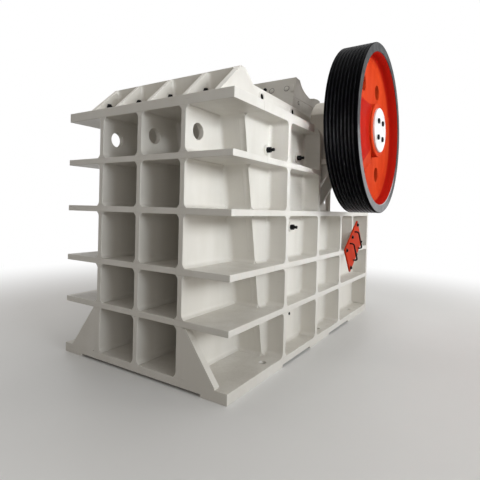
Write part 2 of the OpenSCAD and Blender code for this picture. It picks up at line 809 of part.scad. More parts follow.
// Cylinder along the shaft from x0 to x1
module turned(x0, x1, r) {
  translate([x0, shaft_y, shaft_z]) rotate([0, 90, 0]) cylinder(h = x1 - x0, r = r);
}

module eccentric_shaft() {
  color(steel) placed() {
    turned(-housing_x + 20, housing_x - 20, journal_r);
    turned(-housing_out - 20, housing_out + 20, bearing_r);
    turned(-wheel_x + boss_recess, wheel_x - boss_recess, hub_r);
  }
}

// Profile of a wheel rim, radius against distance behind the outer face
module rim_profile(grooved) {
  start = (rim_w - groove_n * groove_pitch) / 2;
  flank = 0.16 * groove_pitch;
  grooves = grooved ? [for (i = [0:groove_n - 1]) let(x = start + i * groove_pitch) each [
    [wheel_r, x + flank], [wheel_r - groove_d, x + 2 * flank],
    [wheel_r - groove_d, x + groove_pitch - 2 * flank], [wheel_r, x + groove_pitch - flank]
  ]] : [];
  polygon(concat(
    [[wheel_r, 0]], grooves,
    [[wheel_r, rim_w], [wheel_r - rim_t, rim_w], [wheel_r - rim_t - 16, disc_recess + disc_t],
     [wheel_r - rim_t - 16, disc_recess], [wheel_r - rim_t, 0]]
  ));
}

module wheel(grooved) {
  translate([wheel_x, shaft_y, shaft_z]) rotate([0, -90, 0]) rotate([0, 0, -wheel_turn]) {
    rotate_extrude() rim_profile(grooved);
    difference() {
      union() {
        translate([0, 0, disc_recess]) cylinder(h = disc_t, r = wheel_r - rim_t - 8);
        translate([0, 0, boss_recess]) cylinder(h = wheel_x - boss_recess - housing_out - 30, r = boss_r);
        rotate([0, 0, -90 - weight_angle / 2]) rotate_extrude(angle = weight_angle)
          translate([boss_r - 20, weight_recess])
            square([wheel_r - rim_t / 2 - boss_r + 20, disc_recess + disc_t / 2 - weight_recess]);
      }
      for (a = [-30:60:210]) rotate([0, 0, a]) translate([disc_hole_pcd_r, 0, disc_recess - 1])
        cylinder(h = disc_t + 2, r = disc_hole_r);
      translate([0, 0, boss_recess - 1]) cylinder(h = wheel_x, r = hub_r + run_gap);
    }
  }
}

module belt_pulley() {
  color(red) placed() wheel(true);
}

module flywheel() {
  color(red) placed() on_side(-1) wheel(false);
}

module hub_caps() {
  color(cream) placed() for (side = [-1, 1]) on_side(side)
    turned(wheel_x - boss_recess, wheel_x - boss_recess + cap_t, cap_r);
}

base_flange_front();
base_flange_left();
base_flange_right();
base_flange_rear();
foot_pads();
front_shelves();
side_shelves_left();
side_shelves_right();
top_flange_front();
top_flange_left();
top_flange_right();
front_web_left();
front_web_centre();
front_web_right();
side_ribs_left();
side_ribs_right();
front_wall();
side_plate_left();
side_plate_right();
top_gussets();
foot_gussets();
rear_end_plate();
toggle_beam();
toggle_block();
adjusting_wedges();
bearing_pedestal_left();
bearing_pedestal_right();
bearing_housing_left();
bearing_housing_right();
fixed_jaw_plate();
cheek_plate_left();
cheek_plate_right();
cover_plate_left();
cover_plate_right();
cover_handles();
tension_rods();
tension_springs();
swing_jaw_casting();
swing_jaw_plate();
jaw_guard();
toggle_plate();
eccentric_shaft();
belt_pulley();
flywheel();
hub_caps();
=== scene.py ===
# %% [markdown]
# # A jaw crusher, dressed over its CAD frame
# A single-toggle jaw crusher breaks rock between a fixed jaw and a swinging jaw that hangs on an eccentric
# shaft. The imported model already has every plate, casting and wheel at its true size.
# This lesson adds what a drawing leaves out: rounded plate edges, weld fillets, bolts, turned wheel
# details, and the paint, cast iron and steel that cover them.

# %% Load the CAD frame
import json
import math

import bpy
from mathutils import Matrix, Vector

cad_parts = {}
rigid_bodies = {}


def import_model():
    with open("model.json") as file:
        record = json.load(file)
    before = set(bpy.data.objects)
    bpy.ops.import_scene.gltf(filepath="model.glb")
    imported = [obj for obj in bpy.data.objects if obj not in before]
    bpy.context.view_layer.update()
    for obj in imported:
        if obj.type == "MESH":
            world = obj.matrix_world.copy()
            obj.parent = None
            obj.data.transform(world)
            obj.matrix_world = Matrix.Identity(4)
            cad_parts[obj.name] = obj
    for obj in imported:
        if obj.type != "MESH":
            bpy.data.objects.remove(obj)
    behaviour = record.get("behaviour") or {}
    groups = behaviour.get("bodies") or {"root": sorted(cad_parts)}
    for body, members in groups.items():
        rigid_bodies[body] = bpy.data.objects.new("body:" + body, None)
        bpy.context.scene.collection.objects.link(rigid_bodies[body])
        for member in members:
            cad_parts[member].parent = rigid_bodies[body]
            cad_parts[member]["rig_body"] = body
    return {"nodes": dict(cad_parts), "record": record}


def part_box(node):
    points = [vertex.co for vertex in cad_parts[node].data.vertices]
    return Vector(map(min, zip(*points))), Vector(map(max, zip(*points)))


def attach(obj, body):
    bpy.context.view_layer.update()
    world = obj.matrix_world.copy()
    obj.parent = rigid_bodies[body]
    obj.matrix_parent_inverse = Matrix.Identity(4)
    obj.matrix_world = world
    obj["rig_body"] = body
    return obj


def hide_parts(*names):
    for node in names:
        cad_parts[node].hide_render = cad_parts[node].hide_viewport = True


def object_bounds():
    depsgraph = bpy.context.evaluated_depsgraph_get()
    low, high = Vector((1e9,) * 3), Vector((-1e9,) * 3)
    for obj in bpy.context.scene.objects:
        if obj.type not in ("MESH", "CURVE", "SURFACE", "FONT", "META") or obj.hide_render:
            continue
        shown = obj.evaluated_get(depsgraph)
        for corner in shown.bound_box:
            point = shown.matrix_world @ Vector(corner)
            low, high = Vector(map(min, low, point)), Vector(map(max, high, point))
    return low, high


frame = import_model()
nodes = frame["nodes"]
cad_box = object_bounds()
print("CAD nodes:", len(nodes), "box:", [list(corner) for corner in cad_box])

# %% [markdown]
# ## Camera
# The picture is taken near the front right corner, level with the foot of the belt pulley.
# The place, the turn and the lens were solved from the straight plate edges of the machine.
# The lens is shifted a little because the printed picture isn't centred on the view.

# %% Camera
camera = bpy.data.objects.new("camera", bpy.data.cameras.new("camera"))
bpy.context.scene.collection.objects.link(camera)
camera.location = (2.2737, -3.7082, 1.2633)
camera.rotation_euler = [math.radians(turn) for turn in (89.4044, -1.4347, 32.7764)]
camera.data.sensor_width = 36.0
camera.data.lens = 30.06
camera.data.shift_y = -0.0552
camera.data.clip_end = 200.0
bpy.context.scene.camera = camera
bpy.context.scene.view_settings.view_transform = "Standard"
print("camera at", tuple(camera.location))

# %% [markdown]
# ## Node helpers
# Every finish below is a small network of shader nodes.
# One helper adds a node and fills its sockets, either with a plain value or with a link from another node.
# The others wrap the few nodes that come up again and again, so that each material reads from top to bottom.

# %% Adding one node
def add(tree, kind, sockets=(), **settings):
    node = tree.nodes.new(kind)
    for name, value in settings.items():
        setattr(node, name, value)
    for name, value in dict(sockets).items():
        if isinstance(value, bpy.types.NodeSocket):
            tree.links.new(value, node.inputs[name])
        else:
            node.inputs[name].default_value = value
    return node


# %% Nodes that come up again and again
def mix_colour(tree, factor, first, second):
    return add(tree, "ShaderNodeMix", {0: factor, 6: first, 7: second}, data_type="RGBA").outputs[2]


def calculate(tree, operation, first, second=0.0, third=0.0, clamp=False):
    sockets = {0: first, 1: second, 2: third}
    return add(tree, "ShaderNodeMath", sockets, operation=operation, use_clamp=clamp).outputs[0]


def spread(tree, value, low, high, new_low=0.0, new_high=1.0):
    sockets = {0: value, 1: low, 2: high, 3: new_low, 4: new_high}
    return add(tree, "ShaderNodeMapRange", sockets, interpolation_type="SMOOTHSTEP").outputs[0]


def mapped(tree, place, move=(0, 0, 0), turn=(0, 0, 0), scale=(1, 1, 1)):
    return add(tree, "ShaderNodeMapping", {0: place, 1: move, 2: turn, 3: scale}).outputs[0]


def noise(tree, place, scale, detail=3.0, roughness=0.5):
    sockets = {"Vector": place, "Scale": scale, "Detail": detail, "Roughness": roughness}
    return add(tree, "ShaderNodeTexNoise", sockets).outputs["Fac"]


def bump(tree, height, distance):
    return add(tree, "ShaderNodeBump", {"Height": height, "Distance": distance}).outputs[0]


# %% New groups and materials
def new_group(name, inputs, outputs):
    group = bpy.data.node_groups.new(name, "ShaderNodeTree")
    for label, kind, value in inputs:
        socket = group.interface.new_socket(label, in_out="INPUT", socket_type=kind)
        socket.default_value = value
    for label in outputs:
        group.interface.new_socket(label, in_out="OUTPUT", socket_type="NodeSocketFloat")
    return group, group.nodes.new("NodeGroupInput").outputs, group.nodes.new("NodeGroupOutput").inputs


def new_material(name, **shader):
    material = bpy.data.materials.new(name)
    material.use_nodes = True
    tree = material.node_tree
    principled = tree.nodes["Principled BSDF"]
    for socket, value in shader.items():
        label = socket.replace("_", " ").title().replace("Ior", "IOR")
        principled.inputs[label].default_value = value
    place = add(tree, "ShaderNodeTexCoord").outputs["Object"]
    return material, tree, principled.inputs, place


# %% [markdown]
# ## Shared effects
# Three things happen on every surface of such a machine, whatever it is made of. Dust settles on what faces
# up, thick paint dries with a faint orange peel, and castings keep the grain of the sand mould.
# Each effect is a node group, so that all the materials use the same one with their own amounts.

# %% Shared effect: dust on faces that look up
dust_group, enter, leave = new_group(
    "settled_dust",
    [("Place", "NodeSocketVector", (0, 0, 0)), ("Amount", "NodeSocketFloat", 0.3)],
    ["Mask"])
normal = add(dust_group, "ShaderNodeNewGeometry").outputs["Normal"]
facing_up = add(dust_group, "ShaderNodeSeparateXYZ", {0: normal}).outputs["Z"]
upward = spread(dust_group, facing_up, 0.35, 0.98)
patches = spread(dust_group, noise(dust_group, enter["Place"], 3.1, 6.0, 0.62), 0.36, 0.72)
specks = spread(dust_group, noise(dust_group, enter["Place"], 60.0, 3.0, 0.6), 0.35, 0.75)
uneven = calculate(dust_group, "MULTIPLY_ADD", specks, 0.4, patches)
settled = calculate(dust_group, "MULTIPLY", upward, uneven)
dust_group.links.new(calculate(dust_group, "MULTIPLY", settled, enter["Amount"], clamp=True), leave["Mask"])
print("group", dust_group.name)

# %% Shared effect: orange peel and tone of thick paint
paint_group, enter, leave = new_group(
    "sprayed_paint",
    [("Place", "NodeSocketVector", (0, 0, 0))],
    ["Tone", "Height", "Scuff"])
broad = noise(paint_group, enter["Place"], 1.7, 4.0, 0.55)
runs = noise(paint_group, mapped(paint_group, enter["Place"], scale=(9.0, 9.0, 1.1)), 1.0, 3.0, 0.5)
broad_part = calculate(paint_group, "MULTIPLY", broad, 0.65)
paint_group.links.new(calculate(paint_group, "MULTIPLY_ADD", runs, 0.35, broad_part), leave["Tone"])
peel = noise(paint_group, enter["Place"], 170.0, 2.0, 0.5)
dents = noise(paint_group, enter["Place"], 7.0, 3.0, 0.5)
paint_group.links.new(calculate(paint_group, "MULTIPLY_ADD", dents, 5.0, peel), leave["Height"])
strokes = mapped(paint_group, enter["Place"], turn=(0.4, 0.3, 0.5), scale=(6.0, 60.0, 40.0))
scratch = noise(paint_group, strokes, 1.0, 4.0, 0.7)
paint_group.links.new(spread(paint_group, scratch, 0.62, 0.78), leave["Scuff"])
print("group", paint_group.name)

# %% Shared effect: grain of a sand casting
grain_group, enter, leave = new_group(
    "casting_grain",
    [("Place", "NodeSocketVector", (0, 0, 0)), ("Size", "NodeSocketFloat", 90.0)],
    ["Height", "Pits"])
coarse = noise(grain_group, enter["Place"], enter["Size"], 5.0, 0.65)
lumps = noise(grain_group, enter["Place"], 14.0, 3.0, 0.5)
grain_group.links.new(calculate(grain_group, "MULTIPLY_ADD", lumps, 2.0, coarse), leave["Height"])
cells = add(grain_group, "ShaderNodeTexVoronoi", {"Vector": enter["Place"], "Scale": 55.0})
grain_group.links.new(spread(grain_group, cells.outputs["Distance"], 0.05, 0.16, 1.0, 0.0), leave["Pits"])
print("group", grain_group.name)

# %% [markdown]
# ## Painted finishes
# The frame is welded from plate, filled at the corners and sprayed in a cream machine enamel with a soft
# shine. The colour is a mix of two close creams, so that big plates don't look like plastic.
# Scuffs show the coat below, and dust dulls what faces up.
# One recipe, given other colours, serves every painted piece.

# %% Enamel recipe
DUST_COLOUR = (0.33, 0.29, 0.24, 1)


def enamel(name, light, dark, roughness, peel=0.00016, dust=0.35, grain=0.0, shine=0.4, scuff=0.25,
           muted=None):
    """Paint of two close tones. A muted colour takes the place of both where light bounces off it."""
    material, tree, shader, place = new_material(name, specular_ior_level=shine)
    paint = add(tree, "ShaderNodeGroup", {"Place": place}, node_tree=paint_group).outputs
    dirt = add(tree, "ShaderNodeGroup", {"Place": place, "Amount": dust}, node_tree=dust_group).outputs[0]
    tone = spread(tree, paint["Tone"], 0.35, 0.65)
    colour = mix_colour(tree, tone, (*light, 1), (*dark, 1))
    worn = calculate(tree, "MULTIPLY", paint["Scuff"], scuff)
    colour = mix_colour(tree, worn, colour, tuple(0.55 * c + 0.06 for c in dark) + (1,))
    colour = mix_colour(tree, dirt, colour, DUST_COLOUR)
    if muted:
        bounced = add(tree, "ShaderNodeLightPath").outputs["Is Diffuse Ray"]
        colour = mix_colour(tree, bounced, colour, (*muted, 1))
    tree.links.new(colour, shader["Base Color"])
    matt = calculate(tree, "MULTIPLY_ADD", tone, 0.07, roughness)
    tree.links.new(calculate(tree, "MULTIPLY_ADD", dirt, 0.4, matt, clamp=True), shader["Roughness"])
    height = paint["Height"]
    if grain:
        sand = add(tree, "ShaderNodeGroup", {"Place": place}, node_tree=grain_group).outputs["Height"]
        height = calculate(tree, "MULTIPLY_ADD", sand, grain, height)
    tree.links.new(bump(tree, height, peel), shader["Normal"])
    return material


# %% [markdown]
# ## The paints of this machine
# The frame is cream, and its castings wear a greyer, rougher coat of the same cream, whose darker, browner
# tone also paints the shade on the bearing housings.
# The wheels are orange-red with black rims, the covers a little deeper red, the caps white, and the bolts
# and handles black. The reds and blacks hardly shine here: under a white sky, a stronger shine would wash
# them out to pink and grey.
# The backs of the wheels get a muted colour for bounced light, so that they don't tint the cream.

# %% The paints of this machine
cream = enamel("cream_enamel", (0.760, 0.738, 0.690), (0.705, 0.680, 0.625), 0.36, dust=0.22)
# partly painted shade: the darker, browner cream also stands for the shade on the bearing housings
cream_cast = enamel("cream_casting_enamel", (0.600, 0.578, 0.530), (0.500, 0.470, 0.415), 0.46,
                    peel=0.0004, grain=2.0, shine=0.25)
wheel_coat = {"light": (0.640, 0.064, 0.017), "dark": (0.550, 0.044, 0.012), "peel": 0.00010,
              "dust": 0.05, "grain": 1.0, "scuff": 0.15}
wheel_red = enamel("wheel_red_enamel", roughness=0.30, shine=0.004, **wheel_coat)
wheel_back = enamel("wheel_back_enamel", roughness=0.34, shine=0.012, muted=(0.16, 0.12, 0.10), **wheel_coat)
cover_red = enamel("cover_red_enamel", (0.600, 0.044, 0.013), (0.520, 0.030, 0.009), 0.36,
                   dust=0.06, shine=0.012)
rim_black = enamel("rim_black_enamel", (0.0030, 0.0029, 0.0038), (0.0020, 0.0019, 0.0025), 0.36,
                   peel=0.00001, dust=0.006, shine=0.005, scuff=0.01)
fitting_black = enamel("fitting_black_enamel", (0.0075, 0.0075, 0.0085), (0.0045, 0.0045, 0.0055), 0.42,
                       dust=0.08, shine=0.1)
cap_white = enamel("cap_white_enamel", (0.800, 0.800, 0.785), (0.760, 0.757, 0.740), 0.30, dust=0.1)
print("enamels:", [paint.name for paint in (cream, cream_cast, wheel_red, wheel_back, cover_red, rim_black,
                                            fitting_black, cap_white)])

# %% [markdown]
# ## Bare metals
# The jaw plates are manganese steel, used as cast, with a brown bloom of rust in the grooves.
# The springs keep the dark grey scale from being coiled hot.

# %% Cast manganese steel
def cast_steel():
    material, tree, shader, place = new_material("cast_manganese_steel", metallic=1.0)
    sand = add(tree, "ShaderNodeGroup", {"Place": place, "Size": 120.0}, node_tree=grain_group).outputs
    rusty = spread(tree, noise(tree, place, 9.0, 6.0, 0.7), 0.45, 0.72)
    colour = mix_colour(tree, rusty, (0.30, 0.29, 0.28, 1), (0.23, 0.115, 0.058, 1))
    colour = mix_colour(tree, sand["Pits"], colour, (0.07, 0.05, 0.04, 1))
    tree.links.new(colour, shader["Base Color"])
    tree.links.new(calculate(tree, "MULTIPLY_ADD", rusty, 0.25, 0.55), shader["Roughness"])
    tree.links.new(bump(tree, sand["Height"], 0.0007), shader["Normal"])
    return material


jaw_steel = cast_steel()
print("metal:", jaw_steel.name)

# %% Scaled steel of the springs
def dark_steel():
    material, tree, shader, place = new_material("scaled_spring_steel", metallic=0.6)
    blotch = noise(tree, place, 30.0, 4.0, 0.6)
    colour = mix_colour(tree, blotch, (0.10, 0.10, 0.11, 1), (0.055, 0.052, 0.050, 1))
    tree.links.new(colour, shader["Base Color"])
    tree.links.new(spread(tree, blotch, 0.3, 0.7, 0.36, 0.55), shader["Roughness"])
    tree.links.new(bump(tree, noise(tree, place, 260.0), 0.0002), shader["Normal"])
    return material


spring_steel = dark_steel()
print("metal:", spring_steel.name)

# %% [markdown]
# ## Turned steel
# Turned faces show fine rings from the lathe tool. They run round the shaft, so the bump follows the radius.
# The rim faces get a painted reflection: nearly black high up and bright bare metal low down, blended
# by height, with a ragged edge made by noise.
# One helper gives the distances from the shaft. The painted shade on the red wheels needs it too.

# %% Turned steel
SHAFT = Vector((0.0, 0.225, 2.049))
DARK_REFLECTION = (0.012, 0.0125, 0.014, 1)


def from_shaft(tree, place):
    """The distance from the shaft along each axis, and the radius round it."""
    centred = mapped(tree, place, move=tuple(-SHAFT))
    flat = add(tree, "ShaderNodeVectorMath", {0: centred, 1: (0, 1, 1)}, operation="MULTIPLY").outputs[0]
    radius = add(tree, "ShaderNodeVectorMath", {0: flat}, operation="LENGTH").outputs["Value"]
    return add(tree, "ShaderNodeSeparateXYZ", {0: centred}).outputs, radius


def turned_steel(name, colour, roughness, rings=900.0, reflection_below=None):
    material, tree, shader, place = new_material(name, metallic=1.0)
    parts, radius = from_shaft(tree, place)
    cuts = calculate(tree, "SINE", calculate(tree, "MULTIPLY", radius, rings))
    blotch = noise(tree, place, 14.0, 5.0, 0.6)
    metal = mix_colour(tree, blotch, (*colour, 1), tuple(0.72 * c for c in colour) + (1,))
    if reflection_below is not None:
        # painted reflection: the steel is dark above and bright bare metal below, by height; the front counts
        # as lower
        height = calculate(tree, "MULTIPLY_ADD", parts["Y"], 0.45, parts["Z"])
        ragged = calculate(tree, "MULTIPLY_ADD", blotch, 0.3, height)
        painted = spread(tree, ragged, reflection_below - 0.1, reflection_below + 0.3)
        metal = mix_colour(tree, painted, metal, DARK_REFLECTION)
        tree.links.new(calculate(tree, "SUBTRACT", 1.0, painted), shader["Metallic"])
        shader["Specular IOR Level"].default_value = 0.15
    tree.links.new(metal, shader["Base Color"])
    tree.links.new(spread(tree, blotch, 0.3, 0.7, roughness, roughness + 0.14), shader["Roughness"])
    tree.links.new(bump(tree, cuts, 0.00005), shader["Normal"])
    return material


machined = turned_steel("turned_steel", (0.56, 0.56, 0.57), 0.30)
rim_face = turned_steel("bare_rim_face", (0.175, 0.175, 0.18), 0.34, 700.0, reflection_below=-0.42)
rim_edge = turned_steel("bare_rim_edge", (0.55, 0.55, 0.56), 0.34, 700.0, reflection_below=-0.12)
print("metals:", machined.name, rim_face.name, rim_edge.name)

# %% [markdown]
# ## Finish of each CAD node
# The record names a material slot for each node.
# One table turns a slot into a finish, so every CAD surface is covered before any new piece is made.

# %% Finish of each CAD node
finish_of_slot = {
    "frame_paint": cream, "jaw_steel": jaw_steel, "machined_steel": machined, "black_paint": fitting_black,
    "spring_steel": spring_steel, "wheel_paint": wheel_red, "red_paint": cover_red, "cap_paint": cap_white}
slot_of_node = {part["node"]: part["material_slot"] for part in frame["record"]["subparts"]}
for name, node in nodes.items():
    node.data.materials.clear()
    node.data.materials.append(finish_of_slot[slot_of_node[name]])
# painted shade in part: the bearing housings take the darker casting cream for their shade
cast_nodes = ["swing_jaw_casting", "jaw_guard", "bearing_housing_left", "bearing_housing_right"]
for name in cast_nodes:
    nodes[name].data.materials[0] = cream_cast
print("finished", len(nodes), "nodes")

# %% [markdown]
# ## Modelling helpers
# Everything new is modelled as by hand: a primitive is added, its faces or edges are picked by their place,
# and edit-mode operators shape it. The helpers below pick things, run one operator, and finish a piece.
# A finished piece sits at the origin with its place in its mesh, as the CAD nodes do, and rides on one body.

# %% Picking
def leave_all():
    if bpy.context.object and bpy.context.object.mode != "OBJECT":
        bpy.ops.object.mode_set(mode="OBJECT")
    bpy.ops.object.select_all(action="DESELECT")


def take(piece):
    leave_all()
    bpy.context.view_layer.objects.active = piece
    piece.select_set(True)


def pick(piece, kind, test):
    """Select the vertices, edges or faces that pass the test, and stay in edit mode."""
    take(piece)
    bpy.ops.object.mode_set(mode="EDIT")
    bpy.ops.mesh.select_mode(type=kind)
    bpy.ops.mesh.select_all(action="DESELECT")
    bpy.ops.object.mode_set(mode="OBJECT")
    mesh = piece.data
    items = {"VERT": mesh.vertices, "EDGE": mesh.edges, "FACE": mesh.polygons}[kind]
    for item in items:
        item.select = bool(test(item))
    bpy.ops.object.mode_set(mode="EDIT")


# %% Modifiers and closed shells
def modify(piece, kind, **settings):
    take(piece)
    modifier = piece.modifiers.new(kind.lower(), kind)
    for name, value in settings.items():
        setattr(modifier, name, value)
    bpy.ops.object.modifier_apply(modifier=modifier.name)


def soften(piece, width, segments=2, sharper_than=30):
    """Round the edges that are sharper than an angle in degrees."""
    modify(piece, "BEVEL", width=width, segments=segments, limit_method="ANGLE",
           angle_limit=math.radians(sharper_than))


def turn_outwards():
    """Point all faces of the piece in edit mode outwards, and leave it."""
    bpy.ops.mesh.select_all(action="SELECT")
    bpy.ops.mesh.normals_make_consistent(inside=False)
    leave_all()


# %% Placing, joining and finishing
def settle(piece):
    take(piece)
    bpy.ops.object.transform_apply(location=True, rotation=True, scale=True)


def place_copy(piece, matrix):
    copy = bpy.data.objects.new(piece.name + "_copy", piece.data.copy())
    bpy.context.scene.collection.objects.link(copy)
    copy.data.transform(matrix)
    if matrix.determinant() < 0:
        copy.data.flip_normals()
    return copy


def join(name, parts):
    take(parts[0])
    for part in parts:
        part.select_set(True)
    bpy.ops.object.join()
    parts[0].name = name
    return parts[0]


def finish(piece, material, body, angle=35):
    settle(piece)
    if material:
        piece.data.materials.clear()
        piece.data.materials.append(material)
    bpy.ops.object.shade_smooth_by_angle(angle=math.radians(angle))
    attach(piece, body)
    return piece


# %% Drawing an outline point by point
def extrude(move):
    bpy.ops.mesh.extrude_region_move(TRANSFORM_OT_translate={"value": move})


def draw_outline(name, points, closed=True):
    leave_all()
    bpy.ops.mesh.primitive_plane_add(size=0.01, location=points[0])
    piece = bpy.context.object
    piece.name = name
    settle(piece)
    bpy.ops.object.mode_set(mode="EDIT")
    bpy.ops.mesh.select_mode(type="VERT")
    bpy.ops.mesh.select_all(action="SELECT")
    bpy.ops.mesh.merge(type="CENTER")
    for here, there in zip(points, points[1:]):
        extrude(Vector(there) - Vector(here))
    bpy.ops.mesh.select_all(action="SELECT")
    if closed:
        bpy.ops.mesh.edge_face_add()
    bpy.ops.object.mode_set(mode="OBJECT")
    return piece


def arc(centre, radius, start, end, steps):
    turns = [math.radians(start + (end - start) * i / steps) for i in range(steps + 1)]
    return [(centre[0] + radius * math.cos(turn), centre[1] + radius * math.sin(turn)) for turn in turns]


# %% [markdown]
# ## Rounded plate edges
# Flame-cut plates are ground before painting, so no edge is a knife edge: each one catches a thin line of
# light. A CAD node's mesh mustn't change, so each plate is copied, its loose triangles are merged into whole
# faces, and a small bevel rounds its edges. The copy then stands for the node.

# %% One rounded copy
def rounded_copy(name, width, material, segments=2):
    piece = bpy.data.objects.new(name + "_rounded", nodes[name].data.copy())
    bpy.context.scene.collection.objects.link(piece)
    take(piece)
    bpy.ops.object.mode_set(mode="EDIT")
    bpy.ops.mesh.select_all(action="SELECT")
    bpy.ops.mesh.remove_doubles(threshold=0.0001)
    bpy.ops.mesh.dissolve_limited(angle_limit=math.radians(0.5))
    bpy.ops.object.mode_set(mode="OBJECT")
    soften(piece, width, segments)
    finish(piece, material, nodes[name]["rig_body"])
    modify(piece, "WEIGHTED_NORMAL", keep_sharp=True, weight=100)
    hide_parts(name)
    return piece


# %% Rounded edges of the welded plates
PLATE_EDGE = 0.0035
plate_nodes = [
    "base_flange_front", "base_flange_left", "base_flange_right", "base_flange_rear", "foot_pads",
    "front_shelves", "side_shelves_left", "side_shelves_right", "top_flange_front", "top_flange_left",
    "top_flange_right", "front_web_left", "front_web_centre", "front_web_right", "side_ribs_left",
    "side_ribs_right", "front_wall", "side_plate_left", "side_plate_right", "top_gussets",
    "foot_gussets", "rear_end_plate", "bearing_pedestal_left", "bearing_pedestal_right"]
rounded = {name: rounded_copy(name, PLATE_EDGE, cream) for name in plate_nodes}
print("rounded", len(rounded), "plates,", sum(len(p.data.polygons) for p in rounded.values()), "faces")

# %% Rounded edges of castings, covers and the jaw's pieces
# the width of the rounded edge, the finish, and the segments where they aren't two
edge_of_node = {
    "bearing_housing_left": (0.008, cream_cast, 3), "bearing_housing_right": (0.008, cream_cast, 3),
    "jaw_guard": (0.006, cream_cast, 3),
    "cover_plate_left": (0.004, cover_red), "cover_plate_right": (0.004, cover_red),
    "toggle_beam": (0.004, cream), "toggle_block": (0.004, cream_cast), "adjusting_wedges": (0.003, machined),
    "swing_jaw_casting": (0.008, cream_cast), "toggle_plate": (0.004, jaw_steel),
    "fixed_jaw_plate": (0.003, jaw_steel), "swing_jaw_plate": (0.003, jaw_steel),
    "cheek_plate_left": (0.003, jaw_steel), "cheek_plate_right": (0.003, jaw_steel),
    "tension_rods": (0.002, fitting_black), "eccentric_shaft": (0.003, machined),
    "cover_handles": (0.001, fitting_black)}
for name, edge in edge_of_node.items():
    rounded[name] = rounded_copy(name, *edge)
print("rounded", len(edge_of_node), "more nodes")

# %% [markdown]
# ## The hump of the side plates
# Each side plate rises to a hump over the front wall and then slopes down to its long top edge.
# In the solids that slope ends further back than on the photo. The corners of the copies are moved to the
# photo's line, always inwards, so that nothing leaves the solids.
# The two large faces of a plate are flat, and are shaded flat, so that no bevel bends the light on them.

# %% The hump of the side plates
FRONT_Y = cad_box[0][1]
CORNER_REACH, LARGE_FACE = 0.012, 0.02
# where a corner is, along from the front and up, and how far it moves
hump_moves = [
    ((0.410, 2.310), (-0.022, 0.0)),
    ((0.570, 2.244), (-0.066, -0.026)),
    ((1.255, 2.218), (0.0, -0.010))]
for name in ("side_plate_left", "side_plate_right"):
    for (along, height), (back, up) in hump_moves:
        corner = Vector((FRONT_Y + along, height))
        pick(rounded[name], "VERT", lambda v: (v.co.yz - corner).length < CORNER_REACH)
        bpy.ops.transform.translate(value=(0, back, up))
    pick(rounded[name], "FACE", lambda face: face.area > LARGE_FACE)
    bpy.ops.mesh.faces_shade_flat()
    leave_all()
print("hump corners moved:", len(hump_moves), "on each side plate")

# %% [markdown]
# ## Running clearance of the shaft
# The shaft runs in the bore of the jaw casting with a very small gap, and in the CAD mesh both have many
# flat sides. As the shaft turns, these would cross, so the part of it inside the jaw is made a hair slimmer.

# %% Running clearance of the shaft
SEAT_R, SLIMMER = 0.165, 0.995
pick(rounded["eccentric_shaft"], "VERT", lambda v: (v.co - SHAFT).yz.length > SEAT_R)
bpy.ops.transform.resize(value=(1, SLIMMER, SLIMMER), center_override=SHAFT)
leave_all()
print("shaft inside the jaw scaled by", SLIMMER)

# %% [markdown]
# ## Weld fillets in the cells
# Where a shelf or a rib meets the wall behind it, the welder fills the corner and the painter smooths it,
# so that the wall seems to curve into the plates. One concave fillet is drawn and extruded at unit length.
# Each corner then gets a copy, stretched between its two ends, with its legs along the two plates.

# %% One unit fillet
LEG = 0.032
SUNK = -0.02
profile = [(SUNK, SUNK), (1.0, SUNK)] + arc((1.0, 1.0), 1.0, 270, 180, 12) + [(SUNK, 1.0)]
unit_fillet = draw_outline("unit_fillet", [(0, y, z) for y, z in profile])
pick(unit_fillet, "FACE", lambda face: True)
extrude((1, 0, 0))
turn_outwards()


def fillet(start, end, first_leg, second_leg, size=LEG):
    run = Vector(end) - Vector(start)
    columns = (run, Vector(first_leg) * size, Vector(second_leg) * size, Vector(start))
    rows = [[column[row] for column in columns] for row in range(3)]
    return place_copy(unit_fillet, Matrix(rows + [[0, 0, 0, 1]]))


print("unit fillet:", len(unit_fillet.data.polygons), "faces")

# %% Levels of the frame, read from the CAD boxes, and the slope of the front wall
WALL_SLOPE = math.tan(math.radians(10.4))
WALL_TOP, WALL_SETBACK = 2.310, 0.330
RIGHT_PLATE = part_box("side_plate_right")[1].x


def level_gaps(shelf_node, flange_node, base_node):
    heights = sorted({round(v.co.z, 4) for v in nodes[shelf_node].data.vertices})
    bottom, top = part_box(base_node)[1].z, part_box(flange_node)[0].z
    edges = [bottom] + heights + [top]
    return list(zip(edges[::2], edges[1::2]))


def wall_y(z):
    return FRONT_Y + WALL_SETBACK + (WALL_TOP - z) * WALL_SLOPE


front_gaps = level_gaps("front_shelves", "top_flange_front", "base_flange_front")
side_gaps = level_gaps("side_shelves_right", "top_flange_right", "base_flange_right")
print("front cell levels:", front_gaps)
print("side cell levels:", side_gaps)

# %% Fillets on the front wall
web_middles = [-0.430, 0.0, 0.430]
WEB_HALF = 0.021
left_edges = [-RIGHT_PLATE] + [middle + WEB_HALF for middle in web_middles]
right_edges = [middle - WEB_HALF for middle in web_middles] + [RIGHT_PLATE]
up_wall = Vector((0, -WALL_SLOPE, 1)).normalized()
front_fillets = []
for low, high in front_gaps:
    floor_y, roof_y = wall_y(low), wall_y(high)
    for left, right in zip(left_edges, right_edges):
        front_fillets.append(fillet((left, floor_y, low), (right, floor_y, low), up_wall, (0, -1, 0)))
        front_fillets.append(fillet((left, roof_y, high), (right, roof_y, high), -up_wall, (0, -1, 0)))
    for x, out in [(middle + side * WEB_HALF, side) for middle in web_middles for side in (-1, 1)]:
        front_fillets.append(fillet((x, floor_y, low), (x, roof_y, high), (out, 0, 0), (0, -1, 0)))
front_welds = finish(join("front_wall_fillets", front_fillets), cream, "frame", 50)
print("front fillets:", len(front_welds.data.polygons), "faces")

